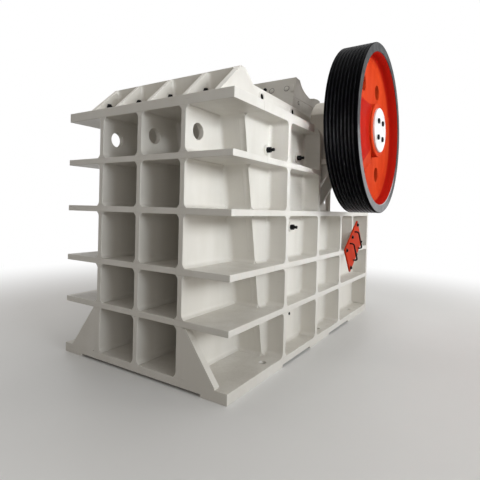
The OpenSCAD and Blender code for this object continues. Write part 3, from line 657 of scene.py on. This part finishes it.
# %% Fillets on the side plates
RIB_HALF = 0.022
rib_middles = [-0.783, -0.112, 0.535]
END_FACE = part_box("rear_end_plate")[0].y
FULL_LENGTH_LEVELS = 3
TOP_LEVEL = len(side_gaps) - 1
SHELF_LEAD = 0.006


def side_fillets(side):
    """The lower levels run to the end plate, the next to the last rib, and the top one to the second rib."""
    x = side * RIGHT_PLATE
    made = []
    for level, (low, high) in enumerate(side_gaps):
        ribs = rib_middles if level < TOP_LEVEL else rib_middles[:2]
        back = END_FACE if level < FULL_LENGTH_LEVELS else ribs[-1]
        for y, turn in [(y, turn) for y in ribs for turn in (-1, 1)]:
            if level < TOP_LEVEL or (y, turn) != (back, 1):
                face = y + turn * RIB_HALF
                made.append(fillet((x, face, low), (x, face, high), (side, 0, 0), (0, turn, 0)))
        made.append(fillet((x, wall_y(low), low), (x, back, low), (side, 0, 0), (0, 0, 1)))
        made.append(fillet((x, wall_y(high) + SHELF_LEAD, high), (x, back, high), (side, 0, 0), (0, 0, -1)))
    return join("side_fillets_" + ("right" if side > 0 else "left"), made)


for side in (-1, 1):
    welds = finish(side_fillets(side), cream, "frame", 50)
    print(welds.name, len(welds.data.polygons), "faces")

# %% [markdown]
# ## Fillets round the top gussets
# Three gussets and the two side plates stand on the top flange, in front of the leaning wall.
# Wide fillets run up the wall beside each of them, and thin ones along their feet on the flange.

# %% Fillets round the top gussets
GUSSET_HALF, GUSSET_TIP = 0.020, 2.298
gusset_middles = [-0.360, 0.0, 0.360]
WALL_LEG, FOOT_LEG, FOOT_START = 0.030, 0.012, 0.06
FLANGE_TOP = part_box("top_flange_front")[1].z
PLATE_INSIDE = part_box("side_plate_right")[0].x
gusset_faces = [(middle + side * GUSSET_HALF, side) for middle in gusset_middles for side in (-1, 1)]
inside_faces = [(-PLATE_INSIDE, 1), (PLATE_INSIDE, -1)]
gusset_fillets = []
for x, out in gusset_faces + inside_faces:
    foot, tip = (x, wall_y(FLANGE_TOP), FLANGE_TOP), (x, wall_y(GUSSET_TIP), GUSSET_TIP)
    front = (x, FRONT_Y + FOOT_START, FLANGE_TOP)
    gusset_fillets.append(fillet(foot, tip, (out, 0, 0), (0, -1, 0), WALL_LEG))
    gusset_fillets.append(fillet(front, foot, (out, 0, 0), (0, 0, 1), FOOT_LEG))
print("gusset fillets:", len(gusset_fillets))
finish(join("gusset_fillets", gusset_fillets), cream, "frame", 50)
bpy.data.objects.remove(unit_fillet)

# %% [markdown]
# ## The wheels
# Both wheels are castings, turned on the rim. One rim carries eight belt grooves and the other is plain.
# A wheel is a turned shape, so half of its section is drawn and spun round the shaft.
# The web meets the rim and the hub in wide curves, which a casting needs and which catch the long highlights.
# Five holes lighten the web, and a heavy sector fills the place of a sixth.

# %% Measures of the wheel
pulley_low, pulley_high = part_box("belt_pulley")
WHEEL_FACE = pulley_high.x
WHEEL_R = (pulley_high.z - pulley_low.z) / 2
HUB_END = WHEEL_FACE - pulley_low.x
RIM_W, RIM_T, RIM_TAPER = 0.284, 0.080, 0.016
WALL_R = WHEEL_R - RIM_T
WEB_NEAR, WEB_FAR = 0.112, 0.172
HUB_R, HUB_STEP, BORE_R = 0.252, 0.032, 0.1202
WEB_CURVE, HUB_CURVE, EDGE = 0.052, 0.026, 0.005
GROOVES, PITCH, GROOVE_DEPTH = 8, 0.031, 0.026
FLANK = 0.16 * PITCH
print("wheel radius", round(WHEEL_R, 3), "face at", round(WHEEL_FACE, 3), "hub length", round(HUB_END, 3))

# %% Half section of a wheel, as radius and depth from its face
def rim_surface(grooved):
    points = [(WHEEL_R - EDGE, 0.0), (WHEEL_R, EDGE)]
    start = (RIM_W - GROOVES * PITCH) / 2
    floor_r = WHEEL_R - GROOVE_DEPTH
    for x in [start + i * PITCH for i in range(GROOVES if grooved else 0)]:
        points += [(WHEEL_R, x + FLANK), (floor_r, x + 2 * FLANK),
                   (floor_r, x + PITCH - 2 * FLANK), (WHEEL_R, x + PITCH - FLANK)]
    return points + [(WHEEL_R, RIM_W - EDGE), (WHEEL_R - EDGE, RIM_W)]


def web_side(near):
    """Section from the rim edge to the hub edge on one side, with the curves at the rim and at the hub."""
    face, out = (WEB_NEAR, -1) if near else (WEB_FAR, 1)
    rim_end = 0.0 if near else RIM_W
    hub_end = HUB_STEP if near else HUB_END
    at_rim = (WALL_R - RIM_TAPER - WEB_CURVE, face + out * WEB_CURVE)
    at_hub = (HUB_R + HUB_CURVE, face + out * HUB_CURVE)
    return ([(WALL_R + EDGE, rim_end), (WALL_R, rim_end - out * EDGE)]
            + arc(at_rim, WEB_CURVE, 0, -out * 90, 7) + arc(at_hub, HUB_CURVE, -out * 90, -out * 180, 4)
            + [(HUB_R, hub_end - out * EDGE), (HUB_R - EDGE, hub_end)])


def wheel_section(grooved):
    bore = [(BORE_R, HUB_END), (BORE_R, HUB_STEP)]
    return rim_surface(grooved) + web_side(False) + bore + web_side(True)[::-1]


print("points of the grooved section:", len(wheel_section(True)))

# %% Spin a section round the shaft
TINY = 0.0002


def spin_section(name, section, face_x, inward, steps):
    """Turn points of radius and depth, measured inward from a face, into a solid round the shaft."""
    line = [(face_x + inward * depth, SHAFT.y + radius, SHAFT.z) for radius, depth in section]
    piece = draw_outline(name, line + line[:1], closed=False)
    pick(piece, "VERT", lambda vertex: True)
    bpy.ops.mesh.remove_doubles(threshold=TINY)
    bpy.ops.mesh.spin(steps=steps, angle=math.tau, center=SHAFT, axis=(1, 0, 0))
    bpy.ops.mesh.select_all(action="SELECT")
    bpy.ops.mesh.remove_doubles(threshold=TINY)
    turn_outwards()
    return piece


# %% Lightening holes
HOLE_R, HOLE_CIRCLE, HOLE_TURN = 0.074, 0.475, 3
DRILL_FROM, DRILL_TO = 0.09, 0.20


def round_bar(name, x0, x1, radius, y, z, sides=48):
    leave_all()
    bpy.ops.mesh.primitive_cylinder_add(vertices=sides, radius=radius, depth=abs(x1 - x0),
                                        location=((x0 + x1) / 2, y, z), rotation=(0, math.pi / 2, 0))
    bar = bpy.context.object
    bar.name = name
    settle(bar)
    return bar


def cut_holes(wheel):
    for degrees in (0, 60, 120, 240, 300):
        angle = math.radians(HOLE_TURN + degrees)
        y, z = SHAFT.y + HOLE_CIRCLE * math.cos(angle), SHAFT.z + HOLE_CIRCLE * math.sin(angle)
        drill = round_bar("drill", WHEEL_FACE - DRILL_FROM, WHEEL_FACE - DRILL_TO, HOLE_R, y, z)
        modify(wheel, "BOOLEAN", operation="DIFFERENCE", object=drill, solver="EXACT")
        bpy.data.objects.remove(drill)
    soften(wheel, 0.004, sharper_than=55)


# %% [markdown]
# ## The balance sector
# A heavy block beside the hub balances the eccentric shaft. Its upper end is level, and its lower end slopes
# down to the web under the hub. Its outline is drawn as two arcs, one at the rim and one at the hub, and
# extruded to the depth where the slope ends. There the two corners of the lower end are moved to the foot of
# the slope, and a second extrusion sinks the block in the web.

# %% The balance sector
SECTOR_NEAR, RAMP_DEPTH, SECTOR_BACK = 0.054, 0.106, WEB_FAR - 0.02
RIM_ARC, RIM_STEPS = (163, 217), 20
HUB_ARC, HUB_STEPS = (231, 122), 25
RAMP_FOOT = [Vector((0, -0.505, -0.505)), Vector((0, 0.053, -0.308))]
NEAR_POINT = 0.002


def balance_sector():
    at_rim = arc((0, 0), WALL_R + 0.006, *RIM_ARC, RIM_STEPS)
    at_hub = arc((0, 0), HUB_R - 0.02, *HUB_ARC, HUB_STEPS)
    x = WHEEL_FACE - SECTOR_NEAR
    sector = draw_outline("balance_sector", [(x, SHAFT.y + y, SHAFT.z + z) for y, z in at_rim + at_hub])
    pick(sector, "FACE", lambda face: True)
    extrude((SECTOR_NEAR - RAMP_DEPTH, 0, 0))
    for (y, z), foot in zip((at_rim[-1], at_hub[0]), RAMP_FOOT):
        edge = Vector((0, y, z))
        pick(sector, "VERT", lambda v: v.co.x < x - 0.01 and (v.co - SHAFT - edge).yz.length < NEAR_POINT)
        bpy.ops.transform.translate(value=foot - edge)
    pick(sector, "FACE", lambda face: face.center.x < WHEEL_FACE - RAMP_DEPTH + 0.001)
    extrude((RAMP_DEPTH - SECTOR_BACK, 0, 0))
    turn_outwards()
    soften(sector, 0.008, sharper_than=50)
    return sector


# %% [markdown]
# ## Paint of the wheels
# The rim wall and the sector stand proud of the web, and a deeper red paints the shade on them. This painted
# shade is a mask in the material: they are told from the web by their distance from the middle of the
# machine, from the shaft and from the plane of the sector's slope.
# The black rim, the bare rim face and the bare inner edge are separate material slots, given face by face.

# %% Painted shade on the rim wall and the sector
SHADE_RED = (0.430, 0.014, 0.007, 1)
PROUD_OF_WEB, OUTSIDE_HUB, RIM_WALL = (1.222, 1.240), (0.256, 0.262), (0.680, 0.688)
RAMP_SLOPE, ABOVE_RAMP = -0.577, (-0.112, -0.100)


def add_painted_shade(material):
    tree = material.node_tree
    shader = tree.nodes["Principled BSDF"].inputs
    unshaded_colour = shader["Base Color"].links[0].from_socket
    parts, radius = from_shaft(tree, add(tree, "ShaderNodeTexCoord").outputs["Object"])
    proud = spread(tree, calculate(tree, "ABSOLUTE", parts["X"]), *PROUD_OF_WEB)
    ramp_height = calculate(tree, "MULTIPLY_ADD", parts["Y"], RAMP_SLOPE, parts["Z"])
    above_ramp = spread(tree, ramp_height, *ABOVE_RAMP)
    sector = calculate(tree, "MULTIPLY", spread(tree, radius, *OUTSIDE_HUB), above_ramp)
    wall_or_sector = calculate(tree, "MAXIMUM", sector, spread(tree, radius, *RIM_WALL))
    mask = calculate(tree, "MULTIPLY", proud, wall_or_sector)
    tree.links.new(mix_colour(tree, mask, unshaded_colour, SHADE_RED), shader["Base Color"])


# painted shade: a darker red on the rim wall and the sector, printed as the deeper coat
add_painted_shade(wheel_red)
print("deeper coat on", wheel_red.name)

# %% A slot for each part of the wheel
wheel_paints = [wheel_red, rim_black, rim_face, wheel_back, rim_edge]


def paint_wheel(wheel):
    wheel.data.materials.clear()
    for material in wheel_paints:
        wheel.data.materials.append(material)
    for face in wheel.data.polygons:
        offset = face.center - SHAFT
        radius = math.hypot(offset.y, offset.z)
        paint = wheel_red
        if radius > WALL_R + 0.002:
            flat = abs(face.normal.x) > 0.8 and radius < WHEEL_R - 0.001
            paint = rim_face if flat else rim_black
            if radius < WALL_R + EDGE:
                paint = rim_edge
        elif face.center.x < WHEEL_FACE - (WEB_NEAR + WEB_FAR) / 2:
            paint = wheel_back
        face.material_index = wheel_paints.index(paint)


# %% Both wheels
WHEEL_STEPS = 120
for node_name, grooved in (("belt_pulley", True), ("flywheel", False)):
    turned = spin_section(node_name + "_turned", wheel_section(grooved), WHEEL_FACE, -1, WHEEL_STEPS)
    cut_holes(turned)
    wheel = join(node_name + "_turned", [turned, balance_sector()])
    paint_wheel(wheel)
    if node_name == "flywheel":
        wheel.data.transform(Matrix.Scale(-1, 4, (1, 0, 0)))
        wheel.data.flip_normals()
    finish(wheel, None, "rotor", 32)
    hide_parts(node_name)

# %% [markdown]
# ## Bolts
# A bolt head or a nut is a hexagon with its corners turned off, which leaves a round washer face.
# The stud end stands a little proud of the nut. Each kind is modelled once along +X at the origin,
# then each copy is turned to its place with one matrix.

# %% Hexagon and thread
def hexagon(across_flats, height, x):
    leave_all()
    bpy.ops.mesh.primitive_cylinder_add(vertices=6, radius=across_flats / math.sqrt(3), depth=height,
                                        location=(x + height / 2, 0, 0), rotation=(0, math.pi / 2, 0))
    nut = bpy.context.object
    settle(nut)
    pick(nut, "FACE", lambda face: abs(face.normal.x) > 0.9)
    bpy.ops.mesh.bevel(offset=0.07 * across_flats, segments=2, affect="EDGES")
    leave_all()
    return nut


def thread_grooves(stud, x0, x1, pitch=0.006):
    """Rings cut round the end of a stud, close together as a thread."""
    count = int((x1 - x0) / pitch) - 1
    for i in range(1, count):
        pick(stud, "FACE", lambda face: True)
        bpy.ops.mesh.bisect(plane_co=(x0 + i * pitch, 0, 0), plane_no=(1, 0, 0))
    levels = [x0 + i * pitch for i in range(2, count, 2)]
    pick(stud, "VERT", lambda v: any(abs(v.co.x - level) < 0.0005 for level in levels))
    if levels:
        bpy.ops.transform.resize(value=(1, 0.86, 0.86), center_override=(0, 0, 0))
    leave_all()


# %% Bolt, and its copies
def bolt(name, across_flats, head=0.6, stud=0.0, washer=0.0):
    """The head is a share of the width across the flats. The stud and the washer are lengths."""
    parts = []
    if washer:
        parts.append(round_bar("washer", -0.002, washer, across_flats * 0.95, 0, 0, 32))
        soften(parts[0], 0.0012)
    parts.append(hexagon(across_flats, across_flats * head, washer))
    if stud:
        top = washer + across_flats * head
        parts.append(round_bar("stud", 0, top + stud, across_flats * 0.31, 0, 0, 24))
        soften(parts[-1], across_flats * 0.05)
        thread_grooves(parts[-1], top, top + stud)
    return join(name, parts)


def turned_to(axis, place, spin=0.0):
    turn = Vector((1, 0, 0)).rotation_difference(Vector(axis)).to_matrix().to_4x4()
    return Matrix.Translation(Vector(place)) @ turn @ Matrix.Rotation(math.radians(spin), 4, "X")


def set_in(piece, axis, place, spin):
    return place_copy(piece, turned_to(axis, place, spin))


# %% [markdown]
# ## Cheek plate bolts
# The cheek plates inside the chamber are held by big bolts that come out through the side plates.
# Each has a white painted boss round its hole, then a black nut and the end of the stud.
# The boss is a short cylinder whose end face is inset twice and sunk, which gives it a lip.

# %% Cheek plate bolts
BOSS_R, BOSS_T, BOSS_LIP, BOSS_DISH = 0.043, 0.016, 0.006, 0.003
cheek_places = [(0.730, 1.749), (1.311, 1.754), (1.202, 1.114)]
cheek_nut = bolt("cheek_nut", 0.044, 0.75, stud=0.030)
nuts_and_hole_shade, boss_parts = [], []


def dished_boss(side, y, z):
    boss = round_bar("boss", side * (RIGHT_PLATE - 0.002), side * (RIGHT_PLATE + BOSS_T), BOSS_R, y, z, 40)
    pick(boss, "FACE", lambda face: face.normal.x * side > 0.9)
    bpy.ops.mesh.inset(thickness=BOSS_LIP)
    bpy.ops.mesh.inset(thickness=BOSS_DISH)
    bpy.ops.transform.translate(value=(-side * BOSS_DISH, 0, 0))
    leave_all()
    return boss


for side in (-1, 1):
    for along, z in cheek_places:
        y = FRONT_Y + along
        boss_parts.append(dished_boss(side, y, z))
        seat = (side * (RIGHT_PLATE + BOSS_T - BOSS_DISH), y, z)
        nuts_and_hole_shade.append(set_in(cheek_nut, (side, 0, 0), seat, 12))
bpy.data.objects.remove(cheek_nut)
print("cheek bolts:", len(nuts_and_hole_shade))

# %% [markdown]
# ## Bolts sunk above the top flange
# Above the flange the cheek bolts end inside their holes, each with a raised ring round it. A black lining
# is painted shade that makes each hole a dark recess, and a bolt head sits at its bottom.
# A small black plug paints the shade of a small hole low on each side plate.

# %% Raised ring
def raised_ring(x, side, y, z, outer, inner, height):
    ring = round_bar("ring", x - side * 0.002, x + side * height, outer, y, z, 48)
    pick(ring, "FACE", lambda face: abs(face.normal.x) > 0.9)
    bpy.ops.mesh.inset(thickness=outer - inner)
    bpy.ops.mesh.bridge_edge_loops()
    bpy.ops.mesh.normals_make_consistent(inside=False)
    leave_all()
    soften(ring, 0.3 * height, sharper_than=50)
    return ring


# %% Bolts sunk above the top flange
HOLE_Z, CHEEK_HOLE_R = 2.155, 0.026
RING_R, RING_T = 0.047, 0.005
SHADE_LINING_IN, SHADE_LINING_BACK, SHADE_LINING_T = 0.0225, 0.044, 0.0425
BOLT_DEPTH = 0.034
PLUG_ALONG, PLUG_Z = 1.240, 0.316
sunk_bolt = bolt("sunk_bolt", 0.042, 0.5)
hole_shade_plug = bolt("hole_shade_plug", 0.024, 0.35)
for side in (-1, 1):
    for y in (FRONT_Y + 0.639, FRONT_Y + 1.198):
        out, shade_lining_x = side * RIGHT_PLATE, side * (RIGHT_PLATE - SHADE_LINING_BACK)
        boss_parts.append(raised_ring(out, side, y, HOLE_Z, RING_R, CHEEK_HOLE_R + 0.001, RING_T))
        seat = (side * (RIGHT_PLATE - BOLT_DEPTH), y, HOLE_Z)
        nuts_and_hole_shade.append(set_in(sunk_bolt, (side, 0, 0), seat, 7))
        # painted shade: a black lining darkens the inside of the hole
        nuts_and_hole_shade.append(raised_ring(shade_lining_x, side, y, HOLE_Z, CHEEK_HOLE_R - 0.0006, SHADE_LINING_IN, SHADE_LINING_T))
    # painted shade: a small black plug darkens a small hole
    seat = (side * (RIGHT_PLATE - 0.001), FRONT_Y + PLUG_ALONG, PLUG_Z)
    nuts_and_hole_shade.append(set_in(hole_shade_plug, (side, 0, 0), seat, 25))
for waste in (sunk_bolt, hole_shade_plug):
    bpy.data.objects.remove(waste)
print("bosses and rings:", len(boss_parts), "black pieces:", len(nuts_and_hole_shade))
finish(join("cheek_bolt_bosses", boss_parts), cream, "frame")
finish(join("cheek_nuts_and_hole_shade", nuts_and_hole_shade), fitting_black, "frame")

# %% [markdown]
# ## Bolts beside the top gussets
# Black bolt heads are set low on both faces of each gusset, near the front wall, and one on the inside of
# each side plate. They point sideways, out of the plate that they sit on.

# %% Bolts beside the top gussets
GUSSET_BOLT_ALONG, GUSSET_BOLT_Z = 0.298, 2.152
INSIDE_BOLT_ALONG, INSIDE_BOLT_Z = 0.225, 2.135
places = [(x, out, GUSSET_BOLT_ALONG, GUSSET_BOLT_Z) for x, out in gusset_faces]
places += [(x, out, INSIDE_BOLT_ALONG, INSIDE_BOLT_Z) for x, out in inside_faces]
gusset_bolt = bolt("gusset_bolt", 0.046, 0.4)
gusset_bolts = [set_in(gusset_bolt, (out, 0, 0), (x, FRONT_Y + along, z), 10) for x, out, along, z in places]
bpy.data.objects.remove(gusset_bolt)
print("gusset bolts:", len(gusset_bolts))
finish(join("gusset_bolts", gusset_bolts), fitting_black, "frame")

# %% [markdown]
# ## Guard over the swing jaw
# The bent guard has four filled bolt places in its sloping front, each a round plug in a dark ring, and a
# small one in each end cheek. A welded lug stands near each end, and two black nuts hold it further in.
# One function puts a point on the sloping front, so the pieces on the front are placed by their height and
# width.

# %% A place on the sloping front
guard_low, guard_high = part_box("jaw_guard")
GUARD_LEAN = math.atan2(0.070, 0.305)
GUARD_LIP = 0.027
guard_out = Vector((0, -math.cos(GUARD_LEAN), math.sin(GUARD_LEAN)))


def on_guard(x, z):
    return Vector((x, guard_low.y + (z - guard_low.z - GUARD_LIP) * math.tan(GUARD_LEAN), z))


print("guard from", list(guard_low), "to", list(guard_high))

# %% Plugs and their rings
def plug_and_ring(place, out, radius):
    plug = round_bar("plug", -0.003, 0.0025, radius, 0, 0, 36)
    soften(plug, 0.0015)
    leave_all()
    bpy.ops.mesh.primitive_torus_add(major_radius=radius + 0.002, minor_radius=0.0022, major_segments=40,
                                     minor_segments=8, rotation=(0, math.pi / 2, 0))
    ring = bpy.context.object
    settle(ring)
    for shape in (plug, ring):
        shape.data.transform(turned_to(out, place))
    return plug, ring


GUARD_PLUG_Z, GUARD_PLUG_R = 2.459, 0.024
END_PLUG_ALONG, END_PLUG_Z, END_PLUG_R = 1.535, 2.331, 0.016
front_plugs = [(on_guard(side * x, GUARD_PLUG_Z), guard_out, GUARD_PLUG_R)
               for side in (-1, 1) for x in (0.333, 0.497)]
end_plugs = [((side * guard_high.x, FRONT_Y + END_PLUG_ALONG, END_PLUG_Z), (side, 0, 0), END_PLUG_R)
             for side in (-1, 1)]
made = [plug_and_ring(*plug) for plug in front_plugs + end_plugs]
plugs, rings = [plug for plug, ring in made], [ring for plug, ring in made]
print("guard plugs:", len(plugs))

# %% Lugs and nuts
LUG_X, LUG_Z, LUG_SIZE = 0.560, 2.452, (0.016, 0.040, 0.075)
NUT_X, NUT_Z, NUT_ACROSS, NUT_T = 0.256, 2.476, 0.036, 0.014
for side in (-1, 1):
    leave_all()
    bpy.ops.mesh.primitive_cube_add(size=1)
    lug = bpy.context.object
    lug.scale = LUG_SIZE
    settle(lug)
    soften(lug, 0.004, 3)
    lug.data.transform(turned_to(guard_out, on_guard(side * LUG_X, LUG_Z)))
    plugs.append(lug)
    nut = hexagon(NUT_ACROSS, NUT_T, 0.0)
    nut.data.transform(turned_to(guard_out, on_guard(side * NUT_X, NUT_Z)))
    rings.append(nut)
print("cream pieces on the guard:", len(plugs), "black ones:", len(rings))
finish(join("guard_plugs", plugs), cream_cast, "swing_jaw")
finish(join("guard_plug_rings", rings), fitting_black, "swing_jaw")

# %% [markdown]
# ## Bearing covers
# Each main bearing sits between two ring covers, bolted to the flat ends of its housing.
# The bolts stand on one circle, close together, since they hold the grease seal.
# The inner cover is thicker and has the wider bore, because the shaft is thicker inside the frame.

# %% Bearing covers
housing_low, housing_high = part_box("bearing_housing_right")
COVER_R, BOLT_CIRCLE, BOLTS = 0.236, 0.212, 8
seals, seal_bolts = [], []
seal_bolt = bolt("seal_bolt", 0.024, 0.4)
for face, away, depth, bore in ((housing_high.x, 1, 0.010, 0.1402), (housing_low.x, -1, 0.012, 0.1772)):
    for side in (-1, 1):
        x, out = side * face, side * away
        seals.append(raised_ring(x, out, SHAFT.y, SHAFT.z, COVER_R, bore, depth))
        for i in range(BOLTS):
            turn = math.tau * (i + 0.5) / BOLTS
            place = (x + out * (depth - 0.001), SHAFT.y + BOLT_CIRCLE * math.cos(turn),
                     SHAFT.z + BOLT_CIRCLE * math.sin(turn))
            seal_bolts.append(set_in(seal_bolt, (out, 0, 0), place, 9 * i))
bpy.data.objects.remove(seal_bolt)
print("bearing covers:", len(seals), "bolts:", len(seal_bolts))
finish(join("bearing_covers", seals), cream_cast, "frame")
finish(join("bearing_cover_bolts", seal_bolts), fitting_black, "frame")

# %% [markdown]
# ## Hub caps
# A white cap closes each hub. Four black bolts in a square hold it to the end of the shaft.
# The cap gets a turned rim and a slightly raised middle, so that it isn't a plain disc.
# Its section is spun round the shaft, as the wheels' is.

# %% Hub caps
cap_low, cap_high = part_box("hub_caps")
CAP_X, CAP_T, CAP_STEPS = cap_high.x, 0.018, 72
CAP_R = (cap_high.z - cap_low.z) / 2
DISH = CAP_T - 0.003
MIDDLE_R, MIDDLE = 0.09, CAP_T - 0.001
cap_section = [(0.0, 0.0), (0.0, MIDDLE), (MIDDLE_R, MIDDLE), (MIDDLE_R + 0.006, DISH),
               (CAP_R - 0.022, DISH), (CAP_R - 0.016, CAP_T), (CAP_R - 0.005, CAP_T),
               (CAP_R - 0.001, DISH), (CAP_R, CAP_T - 0.007), (CAP_R, 0.0)]
caps = [spin_section("cap", cap_section, side * (CAP_X - CAP_T), side, CAP_STEPS) for side in (-1, 1)]
print("cap radius", round(CAP_R, 3), "faces", len(caps[0].data.polygons))
hub_caps = finish(join("hub_caps_turned", caps), cap_white, "rotor")
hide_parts("hub_caps")

# %% Cap bolts
CAP_BOLT_Y, CAP_BOLT_Z = 0.0735, 0.0760
cap_bolt = bolt("cap_bolt", 0.048, 0.275, stud=0.003)
cap_bolts = []
for side in (-1, 1):
    for dy, dz in ((-1, -1), (-1, 1), (1, -1), (1, 1)):
        place = (side * (CAP_X - 0.003), SHAFT.y + dy * CAP_BOLT_Y, SHAFT.z + dz * CAP_BOLT_Z)
        cap_bolts.append(set_in(cap_bolt, (side, 0, 0), place, 8))
bpy.data.objects.remove(cap_bolt)
print("cap bolts:", len(cap_bolts))
finish(join("hub_cap_bolts", cap_bolts), fitting_black, "rotor")

# %% [markdown]
# ## Cover plates
# The orange-red covers over the openings beside the toggle gear lie across two shelves at a slope.
# Black bolts hold them near the corners and along the edges. Their places are counted along and across the
# sloping plate, from its middle.

# %% Cover bolts
COVER_SLOPE = math.radians(36.5)
COVER_LONG, COVER_WIDE, BOLT_INSET = 0.535, 0.330, 0.035
cover_low, cover_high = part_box("cover_plate_right")
cover_middle = (cover_low + cover_high) / 2
along = Vector((0, math.cos(COVER_SLOPE), math.sin(COVER_SLOPE))) * (COVER_LONG / 2 - BOLT_INSET)
across = Vector((0, -math.sin(COVER_SLOPE), math.cos(COVER_SLOPE))) * (COVER_WIDE / 2 - BOLT_INSET)
cover_bolt = bolt("cover_bolt", 0.026, 0.6, washer=0.003)
cover_bolts = []
for side in (-1, 1):
    for u, v in ((-1, -1), (1, -1), (-1, 1), (1, 1), (0, -1), (0, 1)):
        place = cover_middle + along * u + across * v
        place.x = side * (cover_high.x - 0.001)
        cover_bolts.append(set_in(cover_bolt, (side, 0, 0), place, 20))
bpy.data.objects.remove(cover_bolt)
print("cover bolts:", len(cover_bolts))
finish(join("cover_bolts", cover_bolts), fitting_black, "frame")

# %% [markdown]
# ## World
# The world gives an even, slightly warm fill, and shows white to the camera and in reflections.
# The two are told apart by the kind of ray, so the white never adds light to the machine.

# %% World
def shown_rays(tree):
    """1 for rays from the camera, a reflection or glass, and 0 for the light that falls on things."""
    ray = add(tree, "ShaderNodeLightPath").outputs
    mirrored = calculate(tree, "MAXIMUM", ray["Is Glossy Ray"], ray["Is Transmission Ray"])
    return calculate(tree, "MAXIMUM", ray["Is Camera Ray"], mirrored)


world = bpy.data.worlds.new("studio")
bpy.context.scene.world = world
world.use_nodes = True
sky = world.node_tree
sky.nodes.clear()
fill = add(sky, "ShaderNodeBackground", {"Color": (1.0, 0.950, 0.890, 1), "Strength": 0.285}).outputs[0]
seen = add(sky, "ShaderNodeBackground", {"Color": (1.0, 1.0, 1.0, 1), "Strength": 1.0}).outputs[0]
both = add(sky, "ShaderNodeMixShader", {0: shown_rays(sky), 1: fill, 2: seen}).outputs[0]
add(sky, "ShaderNodeOutputWorld", {0: both})
print("world", world.name)

# %% [markdown]
# ## Lamps
# Soft lamps stand where a works hall lets light in. A long window lamp with a narrow beam aims at the upper
# part of the machine from the pulley's side, so each shelf shades the cell below it.
# A small, thin beam gets past the pulley into the cells behind it. The door lamp lights the front, the yard
# lamp the rear of the side, and the roof lamp what faces up.
# Each lamp is an area lamp: its size softens the shadows, and its spread narrows the beam.

# %% Lamps
def lamp(name, place, target, size, power, colour, beam=180):
    light = bpy.data.lights.new(name, "AREA")
    light.shape = "RECTANGLE"
    light.size, light.size_y = size
    light.energy = power
    light.spread = math.radians(beam)
    light.color = colour
    holder = bpy.data.objects.new(name, light)
    bpy.context.scene.collection.objects.link(holder)
    holder.location = place
    holder.rotation_euler = (Vector(target) - Vector(place)).to_track_quat("-Z", "Y").to_euler()
    print(name, power, "W")


DAYLIGHT, WARM_WHITE, PLAIN_WHITE = (0.920, 0.962, 1.0), (1.0, 0.98, 0.96), (1.0, 0.99, 0.97)
lamp("window_lamp", (7.0, -1.1, 3.0), (0.5, -0.3, 2.4), (5.6, 1.8), 74, DAYLIGHT, beam=70)
lamp("cell_lamp", (5.0, -3.9, 2.3), (0.68, -0.32, 1.80), (0.5, 0.5), 1.0, DAYLIGHT, beam=13)
lamp("door_lamp", (6.5, -6.5, 2.2), (0, -0.5, 1.2), (4.0, 3.0), 42, WARM_WHITE)
lamp("yard_lamp", (6.5, 4.0, 1.8), (0.7, 1.0, 0.8), (2.5, 2.0), 95, WARM_WHITE)
lamp("roof_lamp", (0.0, 0.5, 7.0), (0, 0, 1.2), (5.0, 5.0), 180, PLAIN_WHITE)

# %% [markdown]
# ## Floor
# The machine stands on a plain pale floor, which keeps its shadow and fades into the white further out.
# To bounced light the floor is a darker grey, so that it doesn't lift the shade under the shelves.
# The fade is a mix with a white emission, seen only by the rays that show.

# %% Floor
FADE_FROM, FADE_TO = 2.4, 6.0
leave_all()
bpy.ops.mesh.primitive_plane_add(size=80)
floor = bpy.context.object
floor.name = "floor"
floor_material, tree, shader, place = new_material("pale_floor", roughness=0.5)
tone = noise(tree, place, 1.2, 5.0, 0.6)
pale = mix_colour(tree, tone, (0.80, 0.80, 0.79, 1), (0.76, 0.76, 0.755, 1))
bounced = add(tree, "ShaderNodeLightPath").outputs["Is Diffuse Ray"]
tree.links.new(mix_colour(tree, bounced, pale, (0.30, 0.285, 0.265, 1)), shader["Base Color"])
far = add(tree, "ShaderNodeVectorMath", {0: place}, operation="LENGTH").outputs["Value"]
faded = calculate(tree, "MULTIPLY", shown_rays(tree), spread(tree, far, FADE_FROM, FADE_TO))
white = add(tree, "ShaderNodeEmission", {"Color": (1, 1, 1, 1), "Strength": 1.0}).outputs[0]
lit = tree.nodes["Principled BSDF"].outputs[0]
surface = add(tree, "ShaderNodeMixShader", {0: faded, 1: lit, 2: white}).outputs[0]
tree.links.new(surface, tree.nodes["Material Output"].inputs[0])
floor.data.materials.append(floor_material)
print("floor fades from", FADE_FROM, "to", FADE_TO, "m")
